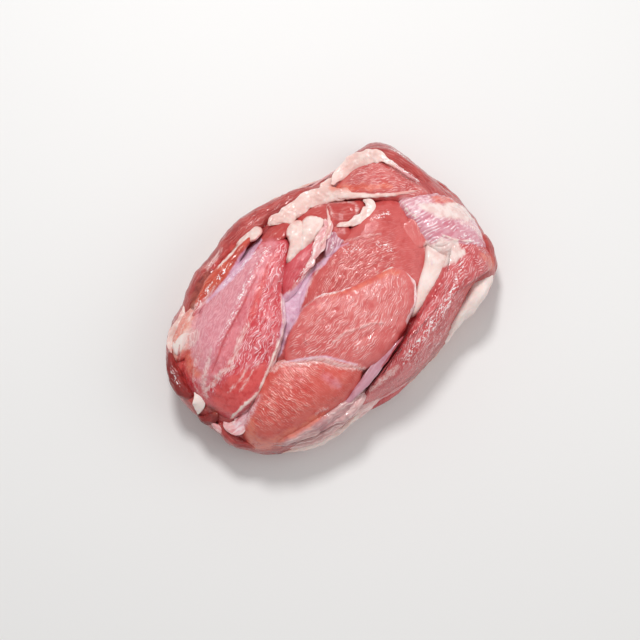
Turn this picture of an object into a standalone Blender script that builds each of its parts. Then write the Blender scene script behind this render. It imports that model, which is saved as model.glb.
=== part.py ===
"""Boneless lamb leg meat, raw: one solid piece, as it lies on its flat underside.

Metres, +Z up, origin at the middle of the underside.  +X runs along the long side of the
piece and +Y across it.  The piece is a low mound of muscle.  Each muscle, fat ridge and
skin fold that shows is a smooth closed form, laid on the mound by its outline or its
centre line, and one union makes them a single solid, which is then cut flat underneath.
"""

import math

import bmesh
import bpy
import numpy as np
from mathutils import Matrix, Vector, noise

MM = 0.001
NAME = "lamb_leg_meat"

# The mound, in millimetres.
WIDEST_LEVEL = 15.0         # height at which the side wall is furthest out
MOUND_TOP = 55.0            # height of the mound under the muscles' own crowns
END_FALL = 8.0              # how much lower the mound is at its two ends
SIDE_FALL = 6.0             # and along its two long sides
HALF_LENGTH = 100.0
HALF_WIDTH = 65.0
SHOULDER_MEAN = 33.0        # how far in from the side wall the top levels out
SHOULDER_SWING = 9.0        # wider than that on the +Y side, narrower on the -Y side
SHOULDER_POWER = 2.1        # 2 is a round shoulder, more is a squarer one
CORE_DROP = 5.0             # the core lies this far below the muscles' level
LOBE_OVERLAP = 1.4          # neighbouring muscles press this far into each other
UNDERCUT_DEPTH = 24.0       # how far the core reaches below its widest level, uncut
BLUNTNESS = 0.2             # of a ridge's ends: 0 is an ellipse, more is blunter
SWELLING = 0.25             # how much a ridge's girth varies
SWELLING_LENGTH = 17.0      # over this distance
UNEVENNESS = 1.3            # height of the soft lumps all over
LUMP_LENGTH = 24.0          # distance between two lumps

# Outline of the whole piece at its widest level: (x, y) in millimetres.
SIDE_OUTLINE = [
    (90, 53), (97, 35), (101, 8), (104, -13), (101, -32), (94, -51), (81, -60), (59, -62),
    (37, -67), (11, -70), (-15, -67), (-37, -65), (-59, -61), (-84, -51), (-95, -37),
    (-101, -17), (-103, -3), (-104, 14), (-96, 35), (-81, 49), (-62, 55), (-42, 63),
    (-18, 69), (10, 69), (34, 62), (56, 58), (76, 59),
]

# Muscles and pads: outline in millimetres, lift above the mound, crown at the middle,
# drop at the edge, and fineness of the mesh.
LOBES = {
    "front_muscle": dict(
        outline=[(57, 23), (68, 14), (66, -2), (63, -17), (46, -31), (20, -28), (-14, -18),
                 (-16, 2), (3, 14), (28, 16), (47, 17)],
        lift=0.0, crown=4.5, drop=6.0, fine=4),
    "middle_muscle": dict(
        outline=[(44, -14), (46, -26), (39, -37), (21, -46), (0, -51), (-19, -43), (-31, -28),
                 (-43, -20), (-38, -10), (-20, 0), (-3, 1), (14, -6), (31, -10)],
        lift=1.5, crown=5.5, drop=5.5, fine=4),
    "lower_muscle": dict(
        outline=[(-48, -14), (-30, -24), (-18, -39), (-12, -48), (-28, -55), (-58, -53),
                 (-82, -47), (-89, -40), (-87, -30), (-68, -21)],
        lift=0.0, crown=4.5, drop=6.0, fine=4),
    "left_muscle": dict(
        outline=[(-7, 49), (3, 39), (-2, 31), (-16, 20), (-28, 4), (-45, -9), (-65, -19),
                 (-85, -21), (-93, -8), (-95, 8), (-91, 21), (-79, 28), (-67, 35), (-48, 42),
                 (-29, 43)],
        lift=1.0, crown=6.0, drop=6.0, fine=4),
    "right_muscle": dict(
        outline=[(70, -31), (85, -33), (93, -43), (88, -54), (69, -56), (46, -63), (24, -69),
                 (-4, -71), (-27, -65), (-21, -58), (-2, -56), (25, -48), (54, -36)],
        lift=1.0, crown=5.0, drop=6.5, fine=4),
    "top_muscle": dict(
        outline=[(50, 47), (63, 47), (79, 41), (86, 22), (88, 6), (75, 9), (57, 25), (43, 39),
                 (39, 48)],
        lift=0.0, crown=4.5, drop=6.0, fine=4),
    "dark_muscle": dict(
        outline=[(21, 47), (36, 42), (54, 28), (47, 23), (35, 25), (24, 35)],
        lift=-2.5, crown=3.0, drop=4.0, fine=3),
    "slim_muscle": dict(
        outline=[(25, 32), (13, 24), (-7, 14), (-20, 13), (-17, 21), (-5, 29), (11, 31)],
        lift=-2.5, crown=4.0, drop=4.5, fine=3),
    "skin_cap": dict(
        outline=[(71, 14), (86, 5), (100, -10), (99, -29), (94, -42), (81, -37), (70, -25),
                 (66, -10), (68, 1)],
        lift=0.5, crown=4.0, drop=5.5, fine=4),
    "skin_wedge": dict(
        outline=[(67, -16), (70, -28), (67, -36), (55, -38), (44, -42), (32, -42), (43, -34),
                 (56, -25)],
        lift=-2.0, crown=1.5, drop=3.0, fine=3),
    "fat_flap": dict(
        outline=[(9, 43), (19, 41), (27, 35), (21, 29), (9, 27), (-4, 28), (3, 36)],
        lift=0.5, crown=3.5, drop=4.5, fine=3),
    "small_muscle": dict(
        outline=[(-2, 51), (10, 49), (8, 42), (1, 40), (-6, 46)],
        lift=0.0, crown=3.5, drop=5.0, fine=3),
    "left_pad": dict(
        outline=[(-68, 39), (-74, 30), (-86, 29), (-93, 31), (-90, 40), (-78, 47), (-66, 49)],
        lift=0.5, crown=4.0, drop=5.0, fine=3),
}

# Fat ridges and strips on top: centre line (x, y) in millimetres, lift of the centre line
# above the mound, half width, half height, and fineness of the mesh.
RIDGES = {
    "fat_ridge": dict(
        line=[(-2, 52), (11, 51), (22, 50), (33, 49), (44, 43), (52, 34), (66, 22), (82, 11)],
        lift=-1.0, half_width=5.0, half_height=3.8, fine=4),
    "outer_fat_strip": dict(
        line=[(48, 52), (60, 53), (73, 50), (83, 40), (88, 26), (91, 12)],
        lift=-0.5, half_width=5.5, half_height=4.2, fine=4),
    "side_strip": dict(
        line=[(-4, 57), (-20, 57), (-40, 51), (-58, 44), (-68, 38)],
        lift=-0.5, half_width=4.6, half_height=4.2, fine=4),
    "curved_fat": dict(
        line=[(57, 29), (54, 20), (47, 18), (38, 21), (31, 26)],
        lift=-1.0, half_width=3.0, half_height=3.2, fine=3),
    "lifted_strip": dict(
        line=[(36, 40), (33, 31), (24, 23), (14, 16)],
        lift=-3.0, half_width=2.6, half_height=3.4, fine=3),
}

# Rolls and folds round the side wall: centre line (x, y, z) in millimetres, half width
# outwards, half height, and fineness of the mesh.
ROLLS = {
    "top_rim_roll": dict(
        line=[(40, 56, 22), (68, 54, 29), (84, 48, 30), (91, 32, 29), (95, 12, 27),
              (97, -12, 22)],
        half_width=8.0, half_height=13.0, fine=5),
    "side_roll": dict(
        line=[(44, 52, 26), (14, 60, 32), (-18, 60, 33), (-42, 54, 33), (-62, 46, 31),
              (-88, 34, 24)],
        half_width=8.5, half_height=14.0, fine=5),
    "side_foot": dict(
        line=[(56, 51, 8), (24, 59, 11), (-10, 62, 13), (-40, 56, 12), (-74, 43, 8)],
        half_width=7.0, half_height=9.5, fine=4),
    "side_fat_pad": dict(
        line=[(97, -30, 22), (89, -49, 23), (70, -56, 22), (50, -59, 21), (22, -64, 17)],
        half_width=6.5, half_height=14.5, fine=5),
    "skin_fold_upper": dict(
        line=[(-14, -58, 36), (-34, -56, 38), (-54, -53, 37), (-70, -48, 35), (-86, -38, 28)],
        half_width=6.0, half_height=7.5, fine=4),
    "skin_fold_lower": dict(
        line=[(-6, -64, 18), (-34, -61, 22), (-56, -58, 20), (-84, -44, 16)],
        half_width=7.0, half_height=11.5, fine=4),
    "left_end_roll": dict(
        line=[(-88, 38, 22), (-96, 14, 27), (-96, -4, 26), (-90, -28, 22)],
        half_width=7.5, half_height=13.5, fine=4),
    "left_end_flap": dict(
        line=[(-93, -9, 38), (-97, -19, 32), (-96, -27, 27), (-90, -36, 25)],
        half_width=3.4, half_height=7.5, fine=3),
    "right_end_foot": dict(
        line=[(91, 44, 8), (95, 14, 12), (98, -8, 12), (94, -40, 8)],
        half_width=7.0, half_height=9.5, fine=4),
    "lower_foot": dict(
        line=[(56, -57, 8), (16, -63, 11), (-8, -63, 11), (-36, -59, 8)],
        half_width=7.0, half_height=9.5, fine=4),
}

TRIANGLES = 9600            # kept in the finished solid

MEAT_COLOUR = (0.62, 0.13, 0.11, 1.0)
MEAT_ROUGHNESS = 0.35


def closed_curve(points, samples):
    """Smooth closed line through the points, as an array of x and y."""
    knots = np.asarray(points, dtype=float)
    count = len(knots)
    rows = []
    for step in range(samples):
        place = step * count / samples
        index = int(place)
        t = place - index
        before, start, end, after = (knots[(index + k) % count] for k in (-1, 0, 1, 2))
        rows.append(0.5 * (2 * start + (end - before) * t
                           + (2 * before - 5 * start + 4 * end - after) * t * t
                           + (3 * start - before - 3 * end + after) * t ** 3))
    return np.array(rows)


def open_curve(points, place):
    """Point and side direction of a smooth open line, at place 0 to 1 of its length."""
    knots = [Vector(point) for point in points]
    knots = [2 * knots[0] - knots[1]] + knots + [2 * knots[-1] - knots[-2]]
    spans = len(knots) - 3
    index = min(int(place * spans), spans - 1)
    t = place * spans - index
    before, start, end, after = knots[index:index + 4]
    point = 0.5 * (2 * start + (end - before) * t
                   + (2 * before - 5 * start + 4 * end - after) * t * t
                   + (3 * start - before - 3 * end + after) * t ** 3)
    along = 0.5 * ((end - before) + 2 * (2 * before - 5 * start + 4 * end - after) * t
                   + 3 * (3 * start - before - 3 * end + after) * t * t)
    return point, Vector((-along.y, along.x, 0.0)).normalized()


SIDE_LINE = closed_curve(SIDE_OUTLINE, 240)


def depth_inside(x, y):
    """Distance from the side wall, 0 outside it."""
    start = SIDE_LINE
    end = np.roll(SIDE_LINE, -1, axis=0)
    edge = end - start
    offset = np.array((x, y)) - start
    share = np.clip((offset * edge).sum(axis=1) / (edge * edge).sum(axis=1), 0.0, 1.0)
    gap = np.linalg.norm(offset - edge * share[:, None], axis=1).min()
    crosses = ((start[:, 1] > y) != (end[:, 1] > y))
    with np.errstate(divide="ignore", invalid="ignore"):
        meet = start[:, 0] + (y - start[:, 1]) / edge[:, 1] * edge[:, 0]
    inside = np.count_nonzero(crosses & (x < meet)) % 2 == 1
    return gap if inside else 0.0


def mound_height(x, y):
    """Height of the mound's top over the point (x, y)."""
    shoulder = SHOULDER_MEAN + SHOULDER_SWING * max(-1.0, min(1.0, y / HALF_WIDTH))
    share = min(depth_inside(x, y) / shoulder, 1.0)
    rise = (1.0 - (1.0 - share) ** SHOULDER_POWER) ** (1.0 / SHOULDER_POWER)
    top = MOUND_TOP - END_FALL * (x / HALF_LENGTH) ** 2 - SIDE_FALL * (y / HALF_WIDTH) ** 2
    return WIDEST_LEVEL + (top - WIDEST_LEVEL) * rise


def lumps(x, y, z):
    """Soft unevenness at a point, in millimetres."""
    return UNEVENNESS * noise.noise(Vector((x, y, z)) / LUMP_LENGTH)


def radius_by_angle(outline, centre, margin=0.0):
    """Function that gives an outline's distance from its centre in any direction."""
    line = closed_curve(outline, 180) - centre
    angle = np.arctan2(line[:, 1], line[:, 0])
    order = np.argsort(angle)
    angle = angle[order]
    radius = np.linalg.norm(line, axis=1)[order] + margin
    return lambda a: float(np.interp(a, angle, radius, period=2 * math.pi))


def new_object(name, mesh_data, collection):
    """Object from a bmesh in millimetres, brought to metres."""
    bmesh.ops.transform(mesh_data, matrix=Matrix.Scale(MM, 4), verts=mesh_data.verts)
    bmesh.ops.recalc_face_normals(mesh_data, faces=mesh_data.faces)
    mesh = bpy.data.meshes.new(name)
    mesh_data.to_mesh(mesh)
    mesh_data.free()
    piece = bpy.data.objects.new(name, mesh)
    collection.objects.link(piece)
    return piece


def unit_ball(fineness):
    """Ball of radius 1 with even triangles."""
    ball = bmesh.new()
    bmesh.ops.create_icosphere(ball, subdivisions=fineness, radius=1.0)
    return ball


def build_core(collection):
    """The mound's core: round shoulders above the widest level, tucked in below it."""
    ball = unit_ball(5)
    centre = np.zeros(2)
    radius = radius_by_angle(SIDE_OUTLINE, centre)
    for vert in ball.verts:
        spread = min(1.0, math.hypot(vert.co.x, vert.co.y))
        angle = math.atan2(vert.co.y, vert.co.x)
        reach = radius(angle) * spread
        x = reach * math.cos(angle)
        y = reach * math.sin(angle)
        if vert.co.z >= 0.0:
            cover = min(1.0, 6.0 * (1.0 - spread))
            z = mound_height(x, y) - CORE_DROP * cover
        else:
            z = WIDEST_LEVEL - UNDERCUT_DEPTH * math.sqrt(max(0.0, 1.0 - spread ** 6))
        swell = 1.0 + lumps(x, y, z) / radius(angle)
        vert.co = (x * swell, y * swell, z)
    return new_object("core", ball, collection)


def build_lobe(name, form, collection):
    """A muscle or pad: crowned over its outline, turned down into the core at its edge."""
    centre = closed_curve(form["outline"], 60).mean(axis=0)
    radius = radius_by_angle(form["outline"], centre, LOBE_OVERLAP)
    ball = unit_ball(form["fine"])
    for vert in ball.verts:
        spread = min(1.0, math.hypot(vert.co.x, vert.co.y))
        angle = math.atan2(vert.co.y, vert.co.x)
        x = centre[0] + radius(angle) * spread * math.cos(angle)
        y = centre[1] + radius(angle) * spread * math.sin(angle)
        edge = mound_height(x, y) + form["lift"] - form["drop"]
        if vert.co.z >= 0.0:
            shoulder = (1.0 - spread ** 5) ** 0.5
            z = edge + form["drop"] * shoulder + form["crown"] * (1.0 - spread ** 2)
            z += lumps(x, y, z)
        else:
            z = edge + 2.0 * form["drop"] * vert.co.z
        vert.co = (x, y, z)
    return new_object(name, ball, collection)


def build_ridge(name, form, collection):
    """A fat ridge or strip: a slim rounded form that follows its line over the mound."""
    raised = [(x, y, mound_height(x, y) + form["lift"]) for x, y in form["line"]]
    return build_roll(name, dict(form, line=raised), collection)


def build_roll(name, form, collection):
    """A rounded form, blunt at both ends, bent along its centre line."""
    ball = unit_ball(form["fine"])
    for vert in ball.verts:
        point, side = open_curve(form["line"], 0.5 + 0.5 * vert.co.x)
        girth = max(1e-6, math.hypot(vert.co.y, vert.co.z)) ** BLUNTNESS
        swell = 1.0 + SWELLING * noise.noise(point / SWELLING_LENGTH)
        across = form["half_width"] * swell * vert.co.y / girth
        rise = form["half_height"] * swell * vert.co.z / girth
        vert.co = point + side * across + Vector((0.0, 0.0, rise))
    return new_object(name, ball, collection)


def fuse(core, collection):
    """One union of the core and everything laid on it, then the pieces are removed."""
    union = core.modifiers.new("union", "BOOLEAN")
    union.operation = "UNION"
    union.operand_type = "COLLECTION"
    union.collection = collection
    union.solver = "MANIFOLD"
    graph = bpy.context.evaluated_depsgraph_get()
    fused = bpy.data.meshes.new_from_object(core.evaluated_get(graph))
    for piece in list(collection.objects):
        bpy.data.objects.remove(piece)
    bpy.data.collections.remove(collection)
    bpy.data.objects.remove(core)
    return fused


def drop_scraps(solid):
    """Keep the one big body: fill the hollows that fusing seals, drop loose scraps."""
    waiting = set(solid.verts)
    bodies = []
    while waiting:
        body = {waiting.pop()}
        edge_of_search = list(body)
        while edge_of_search:
            vert = edge_of_search.pop()
            for edge in vert.link_edges:
                neighbour = edge.other_vert(vert)
                if neighbour in waiting:
                    waiting.remove(neighbour)
                    body.add(neighbour)
                    edge_of_search.append(neighbour)
        bodies.append(body)
    bodies.sort(key=len)
    for scrap in bodies[:-1]:
        bmesh.ops.delete(solid, geom=list(scrap), context="VERTS")


def cut_flat(mesh):
    """Cut the underside flat at z = 0 and close it."""
    solid = bmesh.new()
    solid.from_mesh(mesh)
    drop_scraps(solid)
    cut = bmesh.ops.bisect_plane(
        solid, geom=solid.verts[:] + solid.edges[:] + solid.faces[:], dist=1e-7,
        plane_co=(0, 0, 0), plane_no=(0, 0, -1), clear_outer=True)
    rim = [part for part in cut["geom_cut"] if isinstance(part, bmesh.types.BMEdge)]
    bmesh.ops.contextual_create(solid, geom=rim)
    bmesh.ops.triangulate(solid, faces=solid.faces)
    bmesh.ops.recalc_face_normals(solid, faces=solid.faces)
    solid.to_mesh(mesh)
    solid.free()


def thin_out(piece):
    """Collapse the smallest triangles, down to the wanted number of them."""
    thinning = piece.modifiers.new("thinning", "DECIMATE")
    thinning.ratio = TRIANGLES / len(piece.data.polygons)
    thinning.use_collapse_triangulate = True


def meat_material():
    """Raw lamb: moist, pink-red."""
    material = bpy.data.materials.new("raw_lamb")
    material.use_nodes = True
    shader = material.node_tree.nodes["Principled BSDF"]
    shader.inputs["Base Color"].default_value = MEAT_COLOUR
    shader.inputs["Roughness"].default_value = MEAT_ROUGHNESS
    shader.inputs["Metallic"].default_value = 0.0
    return material


def main():
    """Empty the scene and build the one solid."""
    for thing in list(bpy.data.objects):
        bpy.data.objects.remove(thing)
    home = bpy.context.scene.collection
    laid_on = bpy.data.collections.new("laid_on")
    home.children.link(laid_on)

    core = build_core(home)
    for name, form in LOBES.items():
        build_lobe(name, form, laid_on)
    for name, form in RIDGES.items():
        build_ridge(name, form, laid_on)
    for name, form in ROLLS.items():
        build_roll(name, form, laid_on)

    mesh = fuse(core, laid_on)
    cut_flat(mesh)
    mesh.name = NAME
    mesh.materials.clear()
    mesh.materials.append(meat_material())
    mesh.shade_smooth()
    model = bpy.data.collections.new("boneless_lamb_leg_meat")
    home.children.link(model)
    solid = bpy.data.objects.new(NAME, mesh)
    model.objects.link(solid)
    thin_out(solid)


main()
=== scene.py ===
"""Looks of a raw, boneless piece of lamb leg.

Sizes are in millimetres until a mesh is finished, in the frame of the solid that the
pieces stand for: +X along the piece, +Y across it, +Z up.  A mound carries everything.
Muscles, pads and skin are domed forms over an outline; fat ridges, rolls and folds are
rounded forms along a centre line.  Marks are the fat, silverskin, pale film, dark red that
is partly painted shade in grooves, painted highlights and warm tones that lie on them: a
closed mark is an outline of x and y, an open one a line of x, y and half width.
Outlines and lines are given with few points.
"""

from __future__ import annotations

import logging
import math
from dataclasses import dataclass, field
from enum import Enum
from typing import ClassVar, Union

import bmesh
import bpy
import numpy as np
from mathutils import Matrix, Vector, noise

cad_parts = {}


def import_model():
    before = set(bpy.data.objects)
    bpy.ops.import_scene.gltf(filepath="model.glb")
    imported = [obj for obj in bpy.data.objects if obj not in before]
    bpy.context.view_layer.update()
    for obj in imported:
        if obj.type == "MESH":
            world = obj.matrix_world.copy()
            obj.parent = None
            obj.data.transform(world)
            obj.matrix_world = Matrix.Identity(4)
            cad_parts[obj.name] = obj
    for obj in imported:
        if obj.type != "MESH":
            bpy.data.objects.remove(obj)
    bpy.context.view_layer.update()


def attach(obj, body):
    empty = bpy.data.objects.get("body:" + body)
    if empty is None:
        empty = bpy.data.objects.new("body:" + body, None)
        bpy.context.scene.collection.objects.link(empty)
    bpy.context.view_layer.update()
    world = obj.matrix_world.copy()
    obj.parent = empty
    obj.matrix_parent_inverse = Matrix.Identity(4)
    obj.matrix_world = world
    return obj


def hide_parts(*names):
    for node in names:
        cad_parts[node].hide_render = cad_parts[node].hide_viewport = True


LOG = logging.getLogger("lamb")

MM = 0.001
NODE = "lamb_leg_meat"
BODY = "root"
FLOOR_GAP = 0.15
WHITE = (1.0, 1.0, 1.0, 1.0)

# Shifts of the noise, which keep its uses apart.
SWELL, RAGGED, SWELL_FINE, STRAND, WANDER, STRAND_FINE, PATCH, WANDER_FINE, BORDER = (
    3.0, 5.0, 7.0, 11.0, 13.0, 17.0, 19.0, 23.0, 29.0)

Colour = tuple[float, float, float]
Line = list[tuple[float, ...]]
Socket = bpy.types.NodeSocket
Value = Union[Socket, float, tuple[float, ...]]
Depths = list[tuple["Mark", np.ndarray]]


# --- lines and noise ---------------------------------------------------------------------

def smooth_line(points: Line, samples: int, closed: bool) -> np.ndarray:
    """Points of a smooth line through the given ones.

    Args:
        points: the line's own points, with any number of columns.
        samples: how many points to return.
        closed: whether the line runs back to its start.

    Returns:
        An array with a row for each sample.
    """
    knots = np.asarray(points, dtype=float)
    if closed:
        ring = np.vstack([knots[-1:], knots, knots[:2]])
        spans = len(knots)
    else:
        ring = np.vstack([2 * knots[:1] - knots[1:2], knots, 2 * knots[-1:] - knots[-2:-1]])
        spans = len(knots) - 1
    place = np.linspace(0, spans, samples, endpoint=not closed)
    index = np.minimum(place.astype(int), spans - 1)
    t = (place - index)[:, None]
    before, start, end, after = (ring[index + k] for k in range(4))
    return 0.5 * (2 * start + (end - before) * t
                  + (2 * before - 5 * start + 4 * end - after) * t ** 2
                  + (3 * start - before - 3 * end + after) * t ** 3)


def depth_in_outline(points: np.ndarray, line: np.ndarray) -> np.ndarray:
    """Distance of points inside a closed line, seen from above.

    Args:
        points: x and y first, a row for each point.
        line: the closed line's points, x and y.

    Returns:
        A distance for each point, negative outside.
    """
    gap = np.full(len(points), np.inf)
    inside = np.zeros(len(points), dtype=bool)
    for (x0, y0), (x1, y1) in zip(line, np.roll(line, -1, axis=0)):
        ex, ey = x1 - x0, y1 - y0
        dx, dy = points[:, 0] - x0, points[:, 1] - y0
        share = np.clip((dx * ex + dy * ey) / max(ex * ex + ey * ey, 1e-9), 0.0, 1.0)
        gap = np.minimum(gap, np.hypot(dx - ex * share, dy - ey * share))
        if ey != 0.0:
            inside ^= ((dy < 0.0) != (dy < ey)) & (dx < dy / ey * ex)
    return np.where(inside, gap, -gap)


def depth_in_stroke(points: np.ndarray, line: np.ndarray) -> np.ndarray:
    """Distance of points inside a stroke, seen from above.

    Args:
        points: x and y first, a row for each point.
        line: the stroke's points: x, y and half width.

    Returns:
        A distance for each point, negative outside.
    """
    depth = np.full(len(points), -np.inf)
    for (x0, y0, w0), (x1, y1, w1) in zip(line[:-1], line[1:]):
        ex, ey = x1 - x0, y1 - y0
        dx, dy = points[:, 0] - x0, points[:, 1] - y0
        share = np.clip((dx * ex + dy * ey) / max(ex * ex + ey * ey, 1e-9), 0.0, 1.0)
        gap = np.hypot(dx - ex * share, dy - ey * share)
        depth = np.maximum(depth, w0 + (w1 - w0) * share - gap)
    return depth


def smooth_step(values: np.ndarray, low: float, high: float) -> np.ndarray:
    """0 below low, 1 above high and a soft rise between them."""
    share = np.clip((values - low) / (high - low), 0.0, 1.0)
    return share * share * (3.0 - 2.0 * share)


def lumps(points: np.ndarray, length: float, shift: float = 0.0) -> np.ndarray:
    """Soft noise between -1 and 1.

    Args:
        points: x, y and z, a row for each point.
        length: distance between two lumps.
        shift: moves the pattern, so that two uses differ.

    Returns:
        A value for each point.
    """
    moved = (points / length + shift).tolist()
    return np.array([noise.noise(Vector(row)) for row in moved])


# --- marks -------------------------------------------------------------------------------

class Layer(Enum):
    """What lies on the meat in places, the lowest first."""

    RED = "red"
    FILM = "film"
    WARM = "warm"
    BROWN = "brown"
    SILVER = "silver"
    LILAC = "lilac"
    PALE = "pale"
    # Dark red along grooves and gaps: partly the meat's own deeper red, partly painted shade.
    BLOOD_AND_SHADE = "blood_and_shade"
    FROST = "frost"
    CREAM = "cream"
    FAT = "fat"
    RIM = "rim"
    # Painted highlights: white dashes that stand in for wet specular sparkles.
    PAINTED_GLINT = "painted_glint"
    SHAPE = "shape"
    CALM = "calm"
    ROUGH = "rough"


UNPAINTED = (Layer.SHAPE, Layer.CALM, Layer.ROUGH)


@dataclass(frozen=True)
class Mark:
    """A stroke or a closed outline on the meat, with its colour, its relief or both.

    Its depth is the distance inside its edge, which the material turns into a ragged
    border.  Shape marks only raise the surface; calm and rough ones smooth and deepen
    the strands.
    """

    layer: Layer
    line: Line
    rise: float = 0.0
    soft: float = 1.0
    on: str = ""

    REACH: ClassVar[float] = 6.0
    SAMPLES: ClassVar[int] = 60

    def depth(self, points: np.ndarray) -> np.ndarray:
        """Distance of each point inside the mark's edge.

        Args:
            points: x, y and z, a row for each point.

        Returns:
            A distance for each point, down to minus the reach.
        """
        closed = len(self.line[0]) == 2
        line = smooth_line(self.line, self.SAMPLES, closed)
        spare = self.REACH if closed else self.REACH + line[:, 2].max()
        low, high = line[:, :2].min(axis=0) - spare, line[:, :2].max(axis=0) + spare
        near = ((points[:, :2] > low) & (points[:, :2] < high)).all(axis=1)
        depth = np.full(len(points), -self.REACH)
        if near.any():
            find = depth_in_outline if closed else depth_in_stroke
            depth[near] = np.maximum(find(points[near, :2], line), -self.REACH)
        return depth


def marks(layer: Layer, *lines: Line, **looks: object) -> tuple[Mark, ...]:
    """Marks of one layer that share their relief, their border and the piece they lie on."""
    return tuple(Mark(layer, line, **looks) for line in lines)


# --- finishes ----------------------------------------------------------------------------

@dataclass(frozen=True)
class Finish:
    """One kind of meat surface.  Colours are as seen, 0 to 255; lengths in millimetres.

    Strands are the pale bundles of fibre: the spacing of their fine lines and of the
    bundles, their length, sideways wander, curl and height, and how far in from a form's
    edge they start and reach their full strength.  Their pale colour is partly the
    fibres' own and partly painted sheen of wet highlights on the fibre ridges.  The
    darker borders of forms are painted shade, where each form turns down into the gap.
    """

    name: str
    deep: Colour
    flesh: Colour
    # Pale strand colour: partly the fibres' own streaks, partly painted sheen of wet fibre ridges.
    thread_and_sheen: Colour
    share: float = 0.7
    fine: float = 1.3
    gap: float = 2.6
    length: float = 6.0
    wander: float = 1.6
    curl: float = 1.9
    ridge: float = 0.3
    start: float = 1.0
    full: float = 9.0
    # Painted shade along the borders of forms: its colour and how strongly it shows.
    crease_shade: Colour = (168, 54, 58)
    crease_shade_share: float = 0.5
    roughness: float = 0.34
    relief: float = 0.5
    coat: float = 0.9
    subsurface: float = 0.08


@dataclass(frozen=True)
class Cover:
    """How one layer looks: two tones, how much it hides, and the kind of its border."""

    layer: Layer
    low: Colour
    high: Colour
    share: float
    ragged: float
    soft: float
    threaded: float = 0.0


COVERS = (
    Cover(Layer.RED, (206, 64, 62), (222, 88, 84), 0.85, 1.4, 2.0),
    Cover(Layer.FILM, (210, 114, 124), (226, 140, 148), 0.75, 1.6, 2.0),
    Cover(Layer.WARM, (208, 84, 64), (226, 118, 94), 0.75, 1.4, 1.8),
    Cover(Layer.BROWN, (116, 44, 40), (164, 76, 64), 0.88, 1.4, 1.5),
    Cover(Layer.SILVER, (212, 136, 148), (228, 164, 172), 0.84, 1.2, 1.6, 0.15),
    Cover(Layer.LILAC, (216, 166, 192), (232, 198, 218), 0.9, 0.4, 0.8),
    Cover(Layer.PALE, (224, 176, 186), (242, 214, 218), 0.85, 1.0, 2.0, 0.4),
    # Dark red along grooves and gaps: partly the meat's own deeper red, partly painted shade.
    Cover(Layer.BLOOD_AND_SHADE, (170, 36, 46), (196, 58, 62), 0.75, 0.5, 0.6),
    Cover(Layer.FROST, (228, 176, 172), (242, 208, 204), 0.75, 0.9, 1.0, 0.5),
    Cover(Layer.CREAM, (230, 198, 192), (240, 222, 216), 0.94, 0.9, 1.2),
    Cover(Layer.FAT, (228, 194, 186), (240, 220, 212), 0.95, 0.8, 0.5),
    Cover(Layer.RIM, (238, 206, 208), (252, 236, 236), 0.95, 0.3, 0.5, 0.2),
)


def seen(colour: Colour) -> tuple[float, float, float, float]:
    """A colour as the light-linear values that shaders take.

    Args:
        colour: red, green and blue as seen, 0 to 255.

    Returns:
        Red, green, blue and opacity.
    """
    def linear(value: float) -> float:
        """One channel."""
        share = value / 255.0
        return share / 12.92 if share <= 0.04045 else ((share + 0.055) / 1.055) ** 2.4
    return (linear(colour[0]), linear(colour[1]), linear(colour[2]), 1.0)


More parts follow.
